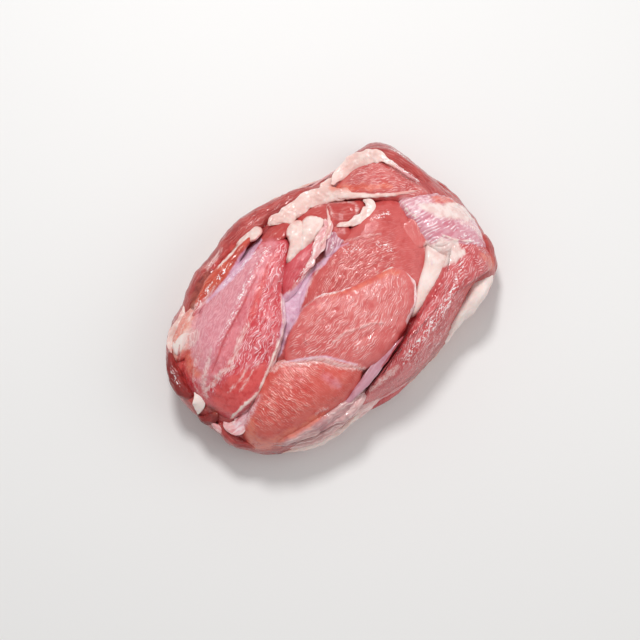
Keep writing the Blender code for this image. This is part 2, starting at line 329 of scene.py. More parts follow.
class Shading:
    """Lays out the nodes of one material."""

    def __init__(self, name: str) -> None:
        """Start a material that holds only its shader and output.

        Args:
            name: the material's name.
        """
        self.material = bpy.data.materials.new(name)
        self.material.use_nodes = True
        self.tree = self.material.node_tree
        self.shader = self.tree.nodes["Principled BSDF"]

    def node(self, kind: str, inputs: dict | None = None,
             **settings: object) -> bpy.types.Node:
        """New node.

        Args:
            kind: the node's type name.
            inputs: values or sockets by input name or number.
            settings: the node's own settings.

        Returns:
            The node.
        """
        made = self.tree.nodes.new(kind)
        for key, value in settings.items():
            setattr(made, key, value)
        for key, value in (inputs or {}).items():
            if isinstance(value, Socket):
                self.tree.links.new(value, made.inputs[key])
            else:
                made.inputs[key].default_value = value
        return made

    def attribute(self, name: str, output: str = "Fac") -> Socket:
        """A socket that reads one of the mesh's attributes."""
        return self.node("ShaderNodeAttribute", attribute_name=name).outputs[output]

    def place(self) -> Socket:
        """Object coordinates in millimetres."""
        held = self.node("ShaderNodeTexCoord").outputs["Object"]
        return self.stretched(held, (1 / MM, 1 / MM, 1 / MM))

    def stretched(self, vector: Socket, scale: Colour) -> Socket:
        """The vector, scaled along its three directions."""
        node = self.node("ShaderNodeVectorMath", {0: vector, 1: scale}, operation="MULTIPLY")
        return node.outputs[0]

    def noise(self, vector: Socket, scale: float, detail: float = 3.0,
              roughness: float = 0.55, distortion: float = 0.0) -> Socket:
        """Noise between 0 and 1, centred on a half."""
        values = {"Vector": vector, "Scale": scale, "Detail": detail,
                  "Roughness": roughness, "Distortion": distortion}
        return self.node("ShaderNodeTexNoise", values).outputs["Fac"]

    def band(self, value: Socket, low: float, high: float,
             to_low: float = 0.0, to_high: float = 1.0) -> Socket:
        """The value's place between low and high, softly, as a number.

        Args:
            value: what to place.
            low: where the result is to_low.
            high: where the result is to_high.
            to_low: the result at one end.
            to_high: the result at the other end.

        Returns:
            The number.
        """
        values = {"Value": value, "From Min": low, "From Max": high,
                  "To Min": to_low, "To Max": to_high}
        node = self.node("ShaderNodeMapRange", values, interpolation_type="SMOOTHSTEP")
        return node.outputs["Result"]

    def sum(self, operation: str, first: Value, second: Value) -> Socket:
        """One step of arithmetic on two numbers."""
        return self.node("ShaderNodeMath", {0: first, 1: second}, operation=operation).outputs[0]

    def times(self, *values: Value) -> Socket:
        """The product of several numbers.

        Args:
            values: numbers or sockets, a socket first.

        Returns:
            The product.
        """
        product = values[0]
        for value in values[1:]:
            product = self.sum("MULTIPLY", product, value)
        return product

    def mix(self, share: Value, below: Value, above: Value) -> Socket:
        """The colour between two others.

        Args:
            share: how far the upper colour hides the lower one, 0 to 1.
            below: the lower colour.
            above: the upper colour.

        Returns:
            The mixed colour.
        """
        node = self.tree.nodes.new("ShaderNodeMix")
        node.data_type = "RGBA"
        for place, value in ((0, share), (6, below), (7, above)):
            if isinstance(value, Socket):
                self.tree.links.new(value, node.inputs[place])
            else:
                node.inputs[place].default_value = value
        return node.outputs[2]


class MeatMaterial:
    """Moist meat in one finish, with the layers that marks put on it.

    Bands of the noises, which run about 0.3 to 0.7, choose the share of the surface that
    each tone takes.
    """

    PATCH_LENGTH: ClassVar[float] = 14.0
    CLOUD_LENGTH: ClassVar[float] = 4.5
    GRAIN_LENGTH: ClassVar[float] = 1.2
    LINES_PER_FINE: ClassVar[float] = 0.76
    SPECULAR: ClassVar[float] = 0.12
    COAT_ROUGHNESS: ClassVar[float] = 0.07
    COAT_RELIEF: ClassVar[float] = 0.45
    SCATTER: ClassVar[Colour] = (1.0, 0.35, 0.25)
    SCATTER_DEPTH: ClassVar[float] = 1.6
    # White of the painted highlight dashes.
    PAINTED_GLINT_COLOUR: ClassVar[Colour] = (255, 246, 246)

    def __init__(self, finish: Finish) -> None:
        """Lay out the noises that colour, gloss and relief share.

        Args:
            finish: the kind of surface.
        """
        self.finish = finish
        self.nodes = nodes = Shading(finish.name)
        fibre, place = nodes.attribute("fibre", "Vector"), nodes.place()
        fine, along = 1 / finish.fine, 1 / finish.length
        self.edge = nodes.attribute("edge")
        self.patch = nodes.noise(place, 1 / self.PATCH_LENGTH, 2.0)
        self.cloud = nodes.noise(place, 1 / self.CLOUD_LENGTH, 3.0)
        self.grain = nodes.noise(place, 1 / self.GRAIN_LENGTH, 3.0, 0.6)
        self.hair = nodes.noise(nodes.stretched(fibre, (1.5 * along, fine, fine)), 1.0, 3.0,
                                0.6, 0.3)
        self.dense = nodes.attribute("dense")
        self.strand = nodes.attribute("strand")
        self.veil = nodes.noise(nodes.stretched(fibre, (along, 1.4 * fine, 1.4 * fine)), 1.0,
                                1.0, 0.5, 0.3)
        self.lines = self.strokes(fibre, fine, along)

    def strokes(self, fibre: Socket, fine: float, along: float) -> Socket:
        """Fine curly strokes along the fibres, broken in places.

        Args:
            fibre: distance along and across the fibres, and height.
            fine: how many fine lines lie on a millimetre, about.
            along: the same for their length.

        Returns:
            1 on a stroke and 0 between two.
        """
        nodes = self.nodes
        across = nodes.node("ShaderNodeSeparateXYZ", {"Vector": fibre}).outputs["Y"]
        curl = nodes.noise(nodes.stretched(fibre, (1.6 * along, 0.32 * fine, 0.32 * fine)),
                           1.0, 2.0)
        phase = nodes.sum("ADD", nodes.times(across, self.LINES_PER_FINE * fine),
                          nodes.times(curl, self.finish.curl))
        wave = nodes.sum("SINE", nodes.times(phase, math.tau), 0.0)
        broken = nodes.noise(nodes.stretched(fibre, (1.2 * along, 0.6 * fine, 0.6 * fine)),
                             1.0, 1.0)
        return nodes.times(nodes.band(wave, -0.1, 0.8), nodes.band(broken, 0.40, 0.56))

    def cover(self, cover: Cover) -> Socket:
        """How far a layer hides what is under it, with a ragged border.

        Args:
            cover: how the layer looks.

        Returns:
            0 off the layer, and up to its share on it.
        """
        nodes = self.nodes
        depth = nodes.attribute(cover.layer.value)
        rough = nodes.sum("ADD", nodes.times(self.cloud, 0.6), nodes.times(self.hair, 0.4))
        wander = nodes.times(nodes.sum("SUBTRACT", rough, 0.5), 5.0 * cover.ragged)
        share = nodes.band(nodes.sum("ADD", depth, wander), -cover.soft, cover.soft)
        if cover.threaded:
            share = nodes.times(share, nodes.band(self.hair, 0.36, 0.6, 1 - cover.threaded, 1.0))
        return nodes.times(share, cover.share)

    def colour(self) -> Socket:
        """Flesh, its pale strands (partly painted sheen) and painted shade at form
        borders, then each layer and painted highlights.

        Returns:
            The colour of the surface.
        """
        nodes, finish = self.nodes, self.finish
        deep, flesh, thread_and_sheen = seen(finish.deep), seen(finish.flesh), seen(finish.thread_and_sheen)
        tone = nodes.sum("ADD", nodes.times(self.patch, 0.6), nodes.times(self.cloud, 0.4))
        colour = nodes.mix(nodes.band(tone, 0.36, 0.58), deep, flesh)
        valley = nodes.band(self.strand, 0.0, -0.4)
        colour = nodes.mix(nodes.times(valley, nodes.band(self.dense, 0.0, 1.0, 0.15, 0.5)),
                           colour, deep)
        # Painted shade: the finish's darker colour near each form's edge, where it turns down
        # between forms.
        crease_shade = nodes.band(nodes.sum("ADD", self.edge, nodes.times(self.cloud, 2.0)), 3.0, 0.8)
        colour = nodes.mix(nodes.times(crease_shade, finish.crease_shade_share), colour,
                           seen(finish.crease_shade))
        # Pale strands, soft and sharp: partly the fibres' own streaks, partly painted sheen.
        soft = nodes.times(nodes.band(self.strand, -0.2, 0.5), self.dense, 0.18 * finish.share)
        colour = nodes.mix(soft, colour, thread_and_sheen)
        sharp = nodes.times(self.lines, nodes.band(self.strand, -0.6, 0.2, 0.4, 1.0),
                            self.dense, finish.share)
        colour = nodes.mix(sharp, colour, thread_and_sheen)
        tones = nodes.band(self.cloud, 0.36, 0.62)
        streaked = nodes.band(self.hair, 0.42, 0.60)
        for cover in COVERS:
            shade = nodes.mix(streaked if cover.threaded else tones, seen(cover.low),
                              seen(cover.high))
            colour = nodes.mix(self.cover(cover), colour, shade)
        # Painted highlights: white dashes on the painted-highlight marks, where two noises peak
        # together.
        painted_glint = nodes.times(nodes.band(nodes.attribute("painted_glint"), -1.2, 0.8),
                            nodes.band(self.hair, 0.50, 0.55),
                            nodes.band(self.grain, 0.48, 0.54))
        return nodes.mix(nodes.times(painted_glint, 0.95), colour, seen(self.PAINTED_GLINT_COLOUR))

    def build(self) -> bpy.types.Material:
        """Link colour, gloss and relief to the shader.

        Returns:
            The material.
        """
        nodes, finish = self.nodes, self.finish
        shader, links = nodes.shader, nodes.tree.links
        links.new(self.colour(), shader.inputs["Base Color"])
        rough = nodes.band(self.cloud, 0.35, 0.65, finish.roughness - 0.08,
                           finish.roughness + 0.12)
        links.new(rough, shader.inputs["Roughness"])
        values = {"Specular IOR Level": self.SPECULAR, "Coat Weight": finish.coat,
                  "Coat Roughness": self.COAT_ROUGHNESS,
                  "Subsurface Weight": finish.subsurface, "Subsurface Radius": self.SCATTER,
                  "Subsurface Scale": self.SCATTER_DEPTH * MM}
        for name, value in values.items():
            shader.inputs[name].default_value = value
        strong = nodes.band(self.dense, 0.0, 1.0, 0.25, 1.0)
        height = nodes.sum("ADD", nodes.times(self.hair, strong, 0.55),
                           nodes.times(self.lines, self.dense, 0.2))
        height = nodes.sum("ADD", height, nodes.times(self.grain, 0.3))
        bump = nodes.node("ShaderNodeBump", {"Height": height, "Strength": finish.relief,
                                             "Distance": 1.0 * MM})
        links.new(bump.outputs["Normal"], shader.inputs["Normal"])
        fresh = nodes.band(self.dense, 0.0, 1.0, 0.6, 1.0)
        wet = nodes.sum("ADD", nodes.times(self.veil, fresh, 0.85),
                        nodes.times(self.lines, self.dense, 0.25))
        wet = nodes.sum("ADD", wet, nodes.times(self.grain, 0.15))
        film = nodes.node("ShaderNodeBump", {"Height": wet, "Strength": self.COAT_RELIEF,
                                             "Distance": 1.0 * MM})
        links.new(film.outputs["Normal"], shader.inputs["Coat Normal"])
        return nodes.material


# --- forms -------------------------------------------------------------------------------

@dataclass(frozen=True)
class Mound:
    """The low mound that carries every muscle."""

    outline: Line
    widest_level: float = 15.0
    top: float = 55.0
    end_fall: float = 8.0
    side_fall: float = 6.0
    half_length: float = 100.0
    half_width: float = 65.0
    shoulder_mean: float = 33.0
    shoulder_swing: float = 9.0
    power: float = 2.1
    samples: int = 120

    def height(self, points: np.ndarray) -> np.ndarray:
        """Height of the mound's top.

        Args:
            points: x and y first, a row for each point.

        Returns:
            A height for each point.
        """
        line = smooth_line(self.outline, self.samples, True)
        inside = np.maximum(depth_in_outline(points[:, :2], line), 0.0)
        x = points[:, 0] / self.half_length
        y = points[:, 1] / self.half_width
        shoulder = self.shoulder_mean + self.shoulder_swing * np.clip(y, -1.0, 1.0)
        share = np.minimum(inside / shoulder, 1.0)
        rise = (1.0 - (1.0 - share) ** self.power) ** (1.0 / self.power)
        top = self.top - self.end_fall * x ** 2 - self.side_fall * y ** 2
        return self.widest_level + (top - self.widest_level) * rise


@dataclass(frozen=True)
class Fibres:
    """The way a muscle's fibres run, seen from above."""

    angle: float = 0.0
    bend: float = 0.0

    def coordinates(self, points: np.ndarray, centre: np.ndarray) -> np.ndarray:
        """Place of each point by the run of the fibres.

        Args:
            points: x, y and z, a row for each point.
            centre: x and y of the muscle's middle.

        Returns:
            Distance along and across the fibres, and height, a row for each point.
        """
        turn = math.radians(self.angle)
        offset = points[:, :2] - centre[:2]
        along = offset @ (math.cos(turn), math.sin(turn))
        across = offset @ (-math.sin(turn), math.cos(turn))
        return np.column_stack([along, across - self.bend * along ** 2, points[:, 2]])


@dataclass(frozen=True)
class Rim:
    """A pale border on a lobe's edge, from one heading round to another, in degrees."""

    layer: Layer
    start: float
    end: float
    width: float

    FADE: ClassVar[float] = 12.0
    UNEVEN: ClassVar[float] = 0.35
    UNEVEN_LENGTH: ClassVar[float] = 3.0

    def depth(self, edge: np.ndarray, angle: np.ndarray, points: np.ndarray) -> np.ndarray:
        """Distance of each point inside the border.

        Args:
            edge: distance in from the lobe's edge, negative underneath.
            angle: heading from the lobe's centre, in radians.
            points: x, y and z, a row for each point.

        Returns:
            A distance for each point.
        """
        middle, half = (self.start + self.end) / 2, (self.end - self.start) / 2
        off = np.abs((np.degrees(angle) - middle + 180.0) % 360.0 - 180.0)
        share = smooth_step(half - off, 0.0, self.FADE)
        width = self.width * (1.0 + self.UNEVEN * lumps(points, self.UNEVEN_LENGTH, BORDER))
        return np.where(edge < 0.0, -Mark.REACH, (width + 1.0) * share - 1.0 - edge)


@dataclass
class Shaped:
    """What a form's shape gives: places, fibre coordinates and distance from the edge."""

    points: np.ndarray
    fibre: np.ndarray
    edge: np.ndarray
    rims: list[tuple[Layer, np.ndarray]] = field(default_factory=list)


@dataclass
class Form:
    """One visible piece: a ball of even triangles, moved into shape."""

    name: str
    finish: Finish
    fineness: int = 7
    uneven: float = 0.25
    uneven_length: float = 6.0
    ragged: float = 0.6
    ragged_length: float = 5.0
    fibres: Fibres = field(default_factory=Fibres)

    WANDER_LENGTH: ClassVar[float] = 7.0
    CURL_LENGTH: ClassVar[float] = 2.5
    CURL_SHARE: ClassVar[float] = 0.3
    STRETCH: ClassVar[float] = 1.3
    VALLEY: ClassVar[float] = -0.4
    CREST: ClassVar[float] = 0.5
    PATCH_LENGTH: ClassVar[float] = 13.0
    PATCH_REACH: ClassVar[float] = 8.0
    ROUGH_GAIN: ClassVar[float] = 1.3
    CALM_SHARE: ClassVar[float] = 0.8
    FAINTEST: ClassVar[float] = 0.08
    FAR_INSIDE: ClassVar[float] = 8.0
    BROAD_SWELL: ClassVar[float] = 1.3
    BROAD_LENGTH: ClassVar[float] = 24.0

    def shape(self, ball: np.ndarray, mound: Mound) -> Shaped:
        """Move the ball's points; each kind of form has its own way.

        Args:
            ball: points of a ball of radius 1.
            mound: what the piece lies on.

        Returns:
            The moved points, their fibre coordinates and distance from the edge.
        """
        raise NotImplementedError

    def build(self, mound: Mound, every: tuple[Mark, ...],
              material: bpy.types.Material) -> None:
        """Args:
            mound: what the piece lies on.
            every: every mark of the meat; those out of reach change nothing.
            material: the finish.
        """
        ball = bmesh.new()
        bmesh.ops.create_icosphere(ball, subdivisions=self.fineness, radius=1.0)
        mesh = bpy.data.meshes.new(self.name)
        ball.to_mesh(mesh)
        ball.free()
        flat = np.empty(len(mesh.vertices) * 3)
        mesh.vertices.foreach_get("co", flat)
        shaped = self.shape(flat.reshape(-1, 3), mound)
        depths = [(mark, mark.depth(shaped.points)) for mark in every
                  if mark.on in ("", self.name)]
        strand, dense = self.strands(shaped, depths)
        self.place_points(mesh, shaped.points)
        shaped.points = self.moved(mesh, shaped, depths, strand, dense)
        self.place_points(mesh, shaped.points)
        self.paint(mesh, shaped, depths, strand, dense)
        mesh.shade_smooth()
        mesh.materials.append(material)
        mesh.update()
        piece = bpy.data.objects.new(self.name, mesh)
        bpy.context.scene.collection.objects.link(piece)
        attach(piece, BODY)
        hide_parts(NODE)
        LOG.info("%s: %d triangles", self.name, len(mesh.polygons))

    def place_points(self, mesh: bpy.types.Mesh, points: np.ndarray) -> None:
        """Write the points into the mesh, in metres."""
        mesh.vertices.foreach_set("co", (points * MM).ravel())
        mesh.update()

    def strands(self, shaped: Shaped, depths: Depths) -> tuple[np.ndarray, np.ndarray]:
        """Find the strands, after the fibres have wandered sideways.

        Args:
            shaped: the form, whose fibre coordinates change.
            depths: the marks, each with the points' depths in it.

        Returns:
            How high each point is on a strand, about -1 to 1, and how strong strands are.
        """
        finish, points = self.finish, shaped.points
        shaped.fibre[:, 1] += finish.wander * lumps(points, self.WANDER_LENGTH, WANDER)
        shaped.fibre[:, 1] += (self.CURL_SHARE * finish.wander
                               * lumps(points, self.CURL_LENGTH, WANDER_FINE))
        rows = shaped.fibre / (self.STRETCH * finish.length, finish.gap, finish.gap)
        strand = lumps(rows, 1.0, STRAND) + 0.5 * lumps(rows, 0.5, STRAND_FINE)
        patches = self.PATCH_REACH * lumps(points, self.PATCH_LENGTH, PATCH)
        strong = smooth_step(shaped.edge + patches, finish.start, finish.full)
        for mark, depth in depths:
            if mark.layer is Layer.ROUGH:
                rough = self.ROUGH_GAIN * smooth_step(depth, -mark.soft, mark.soft)
                strong = np.maximum(strong, rough)
        for mark, depth in depths:
            if mark.layer is Layer.CALM:
                calm = self.CALM_SHARE * smooth_step(depth, -mark.soft, mark.soft)
                strong = strong * (1.0 - calm)
        return strand, self.FAINTEST + (1.0 - self.FAINTEST) * strong

    def moved(self, mesh: bpy.types.Mesh, shaped: Shaped, depths: Depths,
              strand: np.ndarray, dense: np.ndarray) -> np.ndarray:
        """The points, raised by strands and marks and roughened along the normals.

        Args:
            mesh: the piece's mesh.
            shaped: the form.
            depths: the marks, each with the points' depths in it.
            strand: how high each point is on a strand.
            dense: how strong the strands are.

        Returns:
            The points in their last places.
        """
        points = shaped.points
        flat = np.empty(len(mesh.vertices) * 3)
        mesh.vertices.foreach_get("normal", flat)
        normals = flat.reshape(-1, 3)
        upward = np.clip(normals[:, 2] * 2.0, 0.0, 1.0)
        rise = np.zeros(len(points))
        for mark, depth in depths:
            if mark.rise:
                rise += mark.rise * smooth_step(depth, -mark.soft, mark.soft)
        swell = lumps(points, self.uneven_length, SWELL)
        swell += 0.5 * lumps(points, self.uneven_length * 0.4, SWELL_FINE)
        crest = smooth_step(strand, self.VALLEY, self.CREST) - 0.5
        out = swell * self.uneven + rise * upward + self.finish.ridge * crest * dense
        moved = points + normals * out[:, None]
        moved[:, 2] = np.maximum(moved[:, 2], np.minimum(points[:, 2], FLOOR_GAP))
        return moved

    def paint(self, mesh: bpy.types.Mesh, shaped: Shaped, depths: Depths,
              strand: np.ndarray, dense: np.ndarray) -> None:
        """Write the attributes that the material reads.

        Args:
            mesh: the piece's mesh.
            shaped: the form.
            depths: the marks, each with the points' depths in it.
            strand: how high each point is on a strand.
            dense: how strong the strands are.
        """
        vectors = mesh.attributes.new("fibre", "FLOAT_VECTOR", "POINT")
        vectors.data.foreach_set("vector", shaped.fibre.astype(np.float32).ravel())
        values = {"edge": shaped.edge, "strand": strand, "dense": dense}
        for layer in Layer:
            if layer not in UNPAINTED:
                values[layer.value] = np.full(len(shaped.points), -Mark.REACH)
        for layer, depth in [(mark.layer, depth) for mark, depth in depths] + shaped.rims:
            if layer.value in values:
                values[layer.value] = np.maximum(values[layer.value], depth)
        for name, numbers in values.items():
            attribute = mesh.attributes.new(name, "FLOAT", "POINT")
            attribute.data.foreach_set("value", numbers.astype(np.float32))


def radius_by_angle(line: np.ndarray, centre: np.ndarray, angle: np.ndarray) -> np.ndarray:
    """Distance from a centre to a closed line around it, in each direction.

    Args:
        line: the closed line's points, x and y.
        centre: x and y.
        angle: the directions, in radians.

    Returns:
        A distance for each direction.
    """
    offset = line - centre
    around = np.arctan2(offset[:, 1], offset[:, 0])
    order = np.argsort(around)
    return np.interp(angle, around[order], np.linalg.norm(offset, axis=1)[order],
                     period=2 * math.pi)


@dataclass
class Core(Form):
    """The mound itself: what shows between the muscles and low on the side wall."""

    drop: float = 5.0
    undercut: float = 24.0
    girth: float = 70.0

    SHOULDER_GAIN: ClassVar[float] = 6.0
    UNDER_POWER: ClassVar[int] = 6

    def shape(self, ball: np.ndarray, mound: Mound) -> Shaped:
        """Round shoulders above the widest level, tucked in below it, flat underneath.

        Args:
            ball: points of a ball of radius 1.
            mound: what the piece lies on.

        Returns:
            The moved points, their fibre coordinates and distance from the edge.
        """
        line = smooth_line(mound.outline, mound.samples, True)
        spread = np.minimum(np.hypot(ball[:, 0], ball[:, 1]), 1.0)
        angle = np.arctan2(ball[:, 1], ball[:, 0])
        reach = radius_by_angle(line, np.zeros(2), angle)
        flat = np.column_stack([np.cos(angle), np.sin(angle)]) * (reach * spread)[:, None]
        dip = np.minimum(1.0, self.SHOULDER_GAIN * (1.0 - spread))
        top = mound.height(flat) - self.drop * dip
        under = (mound.widest_level
                 - self.undercut * np.sqrt(1.0 - spread ** self.UNDER_POWER))
        points = np.column_stack([flat, np.where(ball[:, 2] >= 0.0, top, under)])
        swell = 1.0 + self.BROAD_SWELL * lumps(points, self.BROAD_LENGTH) / reach
        points[:, :2] *= swell[:, None]
        points[:, 2] = np.maximum(points[:, 2], FLOOR_GAP)
        fibre = np.column_stack([angle * self.girth, points[:, 2], reach * spread])
        return Shaped(points, fibre, np.full(len(points), self.FAR_INSIDE))


@dataclass
class Lobe(Form):
    """A muscle or pad: crowned over its outline, turned down into the core at its edge."""

    outline: Line = field(default_factory=list)
    lift: float = 0.0
    crown: float = 4.0
    drop: float = 6.0
    overlap: float = 1.6
    squareness: float = 7.0
    edge_latitude: float = -0.75
    rims: tuple[Rim, ...] = ()

    SAMPLES: ClassVar[int] = 180

    def shape(self, ball: np.ndarray, mound: Mound) -> Shaped:
        """Domed top over the outline, closed underneath inside the core.

        Args:
            ball: points of a ball of radius 1.
            mound: what the piece lies on.

        Returns:
            The moved points, their fibre coordinates and distance from the edge.
        """
        centre = smooth_line(self.outline, Mark.SAMPLES, True).mean(axis=0)
        line = smooth_line(self.outline, self.SAMPLES, True)
        up = ball[:, 2] > self.edge_latitude
        from_top = (1.0 - ball[:, 2]) / (1.0 - self.edge_latitude)
        from_below = (1.0 + ball[:, 2]) / (1.0 + self.edge_latitude)
        spread = np.sqrt(np.clip(np.where(up, from_top, from_below), 0.0, 1.0))
        angle = np.arctan2(ball[:, 1], ball[:, 0])
        heading = np.column_stack([np.cos(angle), np.sin(angle)])
        full = radius_by_angle(line, centre, angle) + self.overlap
        rim = np.column_stack([centre + heading * full[:, None], np.zeros(len(ball))])
        full = full + self.ragged * lumps(rim, self.ragged_length, RAGGED)
        flat = centre + heading * (full * spread)[:, None]
        edge = mound.height(flat) + self.lift - self.drop
        dome = self.drop * np.sqrt(1.0 - spread ** self.squareness)
        top = edge + dome + self.crown * (1.0 - spread ** 2)
        under = edge - 2.0 * self.drop * np.sqrt(1.0 - spread ** 2)
        points = np.column_stack([flat, np.where(up, top, under)])
        broad = self.BROAD_SWELL * lumps(points, self.BROAD_LENGTH)
        points[:, 2] += np.where(up, broad, 0.0)
        fibre = self.fibres.coordinates(points, centre)
        edge = np.where(up, full * (1.0 - spread), -1.0)
        rims = [(rim.layer, rim.depth(edge, angle, points)) for rim in self.rims]
        return Shaped(points, fibre, edge, rims)


@dataclass
class Roll(Form):
    """A ridge, roll or fold: a rounded form along a centre line.

    On the mound the line holds x, y and half width, and the form keeps its lift over the
    mound.  Round the side wall the line holds x, y, height and half width.
    """

    line: Line = field(default_factory=list)
    lift: float = -1.0
    half_height: float = 4.0
    bluntness: float = 0.2
    flatness: float = 0.0
    swelling: float = 0.25
    swelling_length: float = 17.0

    SAMPLES: ClassVar[int] = 240
    FLANK_SPREAD: ClassVar[float] = 9.0
    LEAST_HEIGHT: ClassVar[float] = 0.35
    FULL_HEIGHT_WIDTH: ClassVar[float] = 4.0

    def shape(self, ball: np.ndarray, mound: Mound) -> Shaped:
        """Bend the ball along the line.

        Args:
            ball: points of a ball of radius 1.
            mound: what the piece lies on.

        Returns:
            The moved points, their fibre coordinates and distance from the edge.
        """
        line = smooth_line(self.line, self.SAMPLES, False)
        on_mound = line.shape[1] == 3
        if on_mound:
            level = mound.height(line) + self.lift
            line = np.column_stack([line[:, :2], level, line[:, 2]])
        run = np.gradient(line[:, :2], axis=0)
        side = np.column_stack([-run[:, 1], run[:, 0]])
        side /= np.linalg.norm(side, axis=1)[:, None]
        steps = np.linalg.norm(np.diff(line[:, :3], axis=0), axis=1)
        length = np.concatenate([[0.0], np.cumsum(steps)])
        place = 0.5 + 0.5 * ball[:, 0]
        samples = np.linspace(0.0, 1.0, len(line))
        at = np.column_stack([np.interp(place, samples, column) for column in line.T])
        out = np.column_stack([np.interp(place, samples, column) for column in side.T])
        girth = np.maximum(np.hypot(ball[:, 1], ball[:, 2]), 1e-6)
        tip = girth ** (1.0 - self.bluntness)
        across, rise = ball[:, 1] / girth, ball[:, 2] / girth
        rise = np.sign(rise) * np.abs(rise) ** (1.0 - self.flatness)
        swell = 1.0 + self.swelling * lumps(at[:, :3], self.swelling_length)
        flank = at[:, :3] + np.outer(self.FLANK_SPREAD * across, (1.0, 0.0, 0.0))
        width = at[:, 3] * swell + self.ragged * lumps(flank, self.ragged_length, RAGGED)
        share = np.minimum(1.0, self.LEAST_HEIGHT + at[:, 3] / self.FULL_HEIGHT_WIDTH)
        height = self.half_height * swell * share
        points = np.column_stack([at[:, :2] + out * (width * across * tip)[:, None],
                                  at[:, 2] + height * rise * tip])
        points[:, 2] = np.maximum(points[:, 2], FLOOR_GAP)
        along = np.interp(place, samples, length)
        around = np.arctan2(rise, across) * (at[:, 3] + self.half_height) / 2
        fibre = np.column_stack([along, around, across])
        edge = rise * at[:, 3] if on_mound else np.full(len(ball), self.FAR_INSIDE)
        return Shaped(points, fibre, edge)


@dataclass
class FlatRidge(Roll):
    """A flat, ragged ridge of fat."""

    fineness: int = 6
    uneven: float = 0.45
    uneven_length: float = 4.5
    ragged: float = 1.5
    ragged_length: float = 4.5
    bluntness: float = 0.6
    flatness: float = 0.55


@dataclass
class Seam(Roll):
    """A thin pale seam on the side wall."""

    fineness: int = 6
    uneven: float = 0.4
    ragged: float = 0.8
    ragged_length: float = 3.0
    flatness: float = 0.3


@dataclass
class BaseFat(Roll):
    """A long band of outer fat along the base."""

    fineness: int = 6
    uneven: float = 0.4
    ragged: float = 1.3
    ragged_length: float = 12.0
    half_height: float = 8.0
    bluntness: float = 0.3
    swelling: float = 0.3
    swelling_length: float = 22.0


# --- this piece of meat ------------------------------------------------------------------

RED_MUSCLE = Finish("red_muscle", (191, 75, 73), (204, 92, 89), (240, 178, 174),
                    share=0.68, fine=0.95, length=5.0, wander=1.4, ridge=0.25, start=5.0,
                    full=16.0, coat=0.65)
SALMON_MUSCLE = Finish("salmon_muscle", (202, 86, 84), (214, 110, 107), (246, 198, 196),
                       share=0.66, fine=0.9, gap=2.4, length=6.0, wander=1.6, ridge=0.25,
                       start=2.0, full=11.0, coat=0.75)
ORANGE_MUSCLE = Finish("orange_muscle", (200, 72, 64), (212, 96, 86), (242, 178, 168),
                       share=0.55, fine=0.9, gap=2.2, length=5.0, wander=0.9, ridge=0.25,
                       start=2.0, full=12.0)
RIBBED_MUSCLE = Finish("ribbed_muscle", (186, 58, 62), (206, 86, 88), (244, 190, 192),
                       share=0.75, fine=1.1, length=4.5, wander=1.8, ridge=0.3, full=8.0)
TOP_MUSCLE = Finish("top_muscle", (190, 72, 70), (208, 98, 94), (242, 186, 184),
                    fine=1.0, gap=2.2, length=5.0, ridge=0.2, full=8.0)
MARBLED_MUSCLE = Finish("marbled_muscle", (198, 50, 60), (212, 84, 92), (246, 196, 202),
                        share=0.9, fine=1.0, gap=2.0, length=6.0, wander=2.4, curl=3.0,
                        ridge=0.4, full=6.0)
DARK_MUSCLE = Finish("dark_muscle", (178, 62, 60), (190, 74, 70), (224, 150, 144), 0.3,
                     relief=0.3, coat=0.55)
PINK_MUSCLE = Finish("pink_muscle", (192, 64, 74), (204, 78, 86), (238, 166, 174), 0.25,
                     ridge=0.15, relief=0.3)
LIP_MUSCLE = Finish("lip_muscle", (120, 30, 30), (146, 42, 40), (200, 110, 104), 0.15,
                    length=9.0, crease_shade_share=0.0, coat=0.7)
BROWN_MUSCLE = Finish("brown_muscle", (142, 58, 44), (174, 82, 64), (208, 126, 102), 0.3)
RIM_MUSCLE = Finish("rim_muscle", (156, 48, 48), (182, 72, 68), (216, 136, 130), 0.4,
                    fine=1.6, length=10.0, wander=2.6, crease_shade_share=0.0, coat=0.7)
STRIP_MUSCLE = Finish("strip_muscle", (180, 56, 43), (203, 79, 60), (240, 168, 140), 0.3,
                      length=8.0, relief=0.35)
MARGIN_FAT = Finish("margin_fat", (224, 130, 118), (236, 168, 152), (246, 220, 210), 0.5,
                    fine=1.8, gap=3.4, length=4.0, wander=2.0, ridge=0.25, start=-3.0,
                    full=1.0, crease_shade=(206, 96, 88), crease_shade_share=0.3, relief=0.35)
CAP_SKIN = Finish("cap_skin", (196, 104, 120), (212, 144, 158), (246, 224, 228), 0.9,
                  fine=1.5, gap=2.4, length=10.0, wander=0.8, curl=1.2, ridge=0.3,
                  start=-4.0, full=1.0, crease_shade_share=0.2)
CONNECTIVE = Finish("connective", (220, 140, 144), (230, 176, 176), (246, 222, 218), 0.8,
                    length=9.0, ridge=0.4, start=-4.0, full=1.0, crease_shade_share=0.3)
LILAC_SKIN = Finish("lilac_skin", (180, 112, 128), (200, 146, 160), (232, 202, 210), 0.8,
                    fine=1.3, length=10.0, wander=0.8, curl=1.0, start=-4.0, full=1.0,
                    crease_shade_share=0.3, relief=0.3)
CREAM_FAT = Finish("cream_fat", (228, 188, 180), (238, 214, 207), (246, 232, 226), 0.25,
                   fine=3.0, gap=3.4, length=6.0, wander=2.0, ridge=0.2, start=-3.0,
                   full=1.0, crease_shade=(220, 130, 122), crease_shade_share=0.75, roughness=0.42,
                   relief=0.35, coat=0.4, subsurface=0.2)
SMOOTH_FAT = Finish("smooth_fat", (234, 208, 200), (241, 224, 218), (246, 234, 230), 0.2,
                    fine=3.0, gap=5.0, length=12.0, ridge=0.12, crease_shade=(226, 164, 156),
                    crease_shade_share=0.5, roughness=0.42, relief=0.2, coat=0.4, subsurface=0.2)
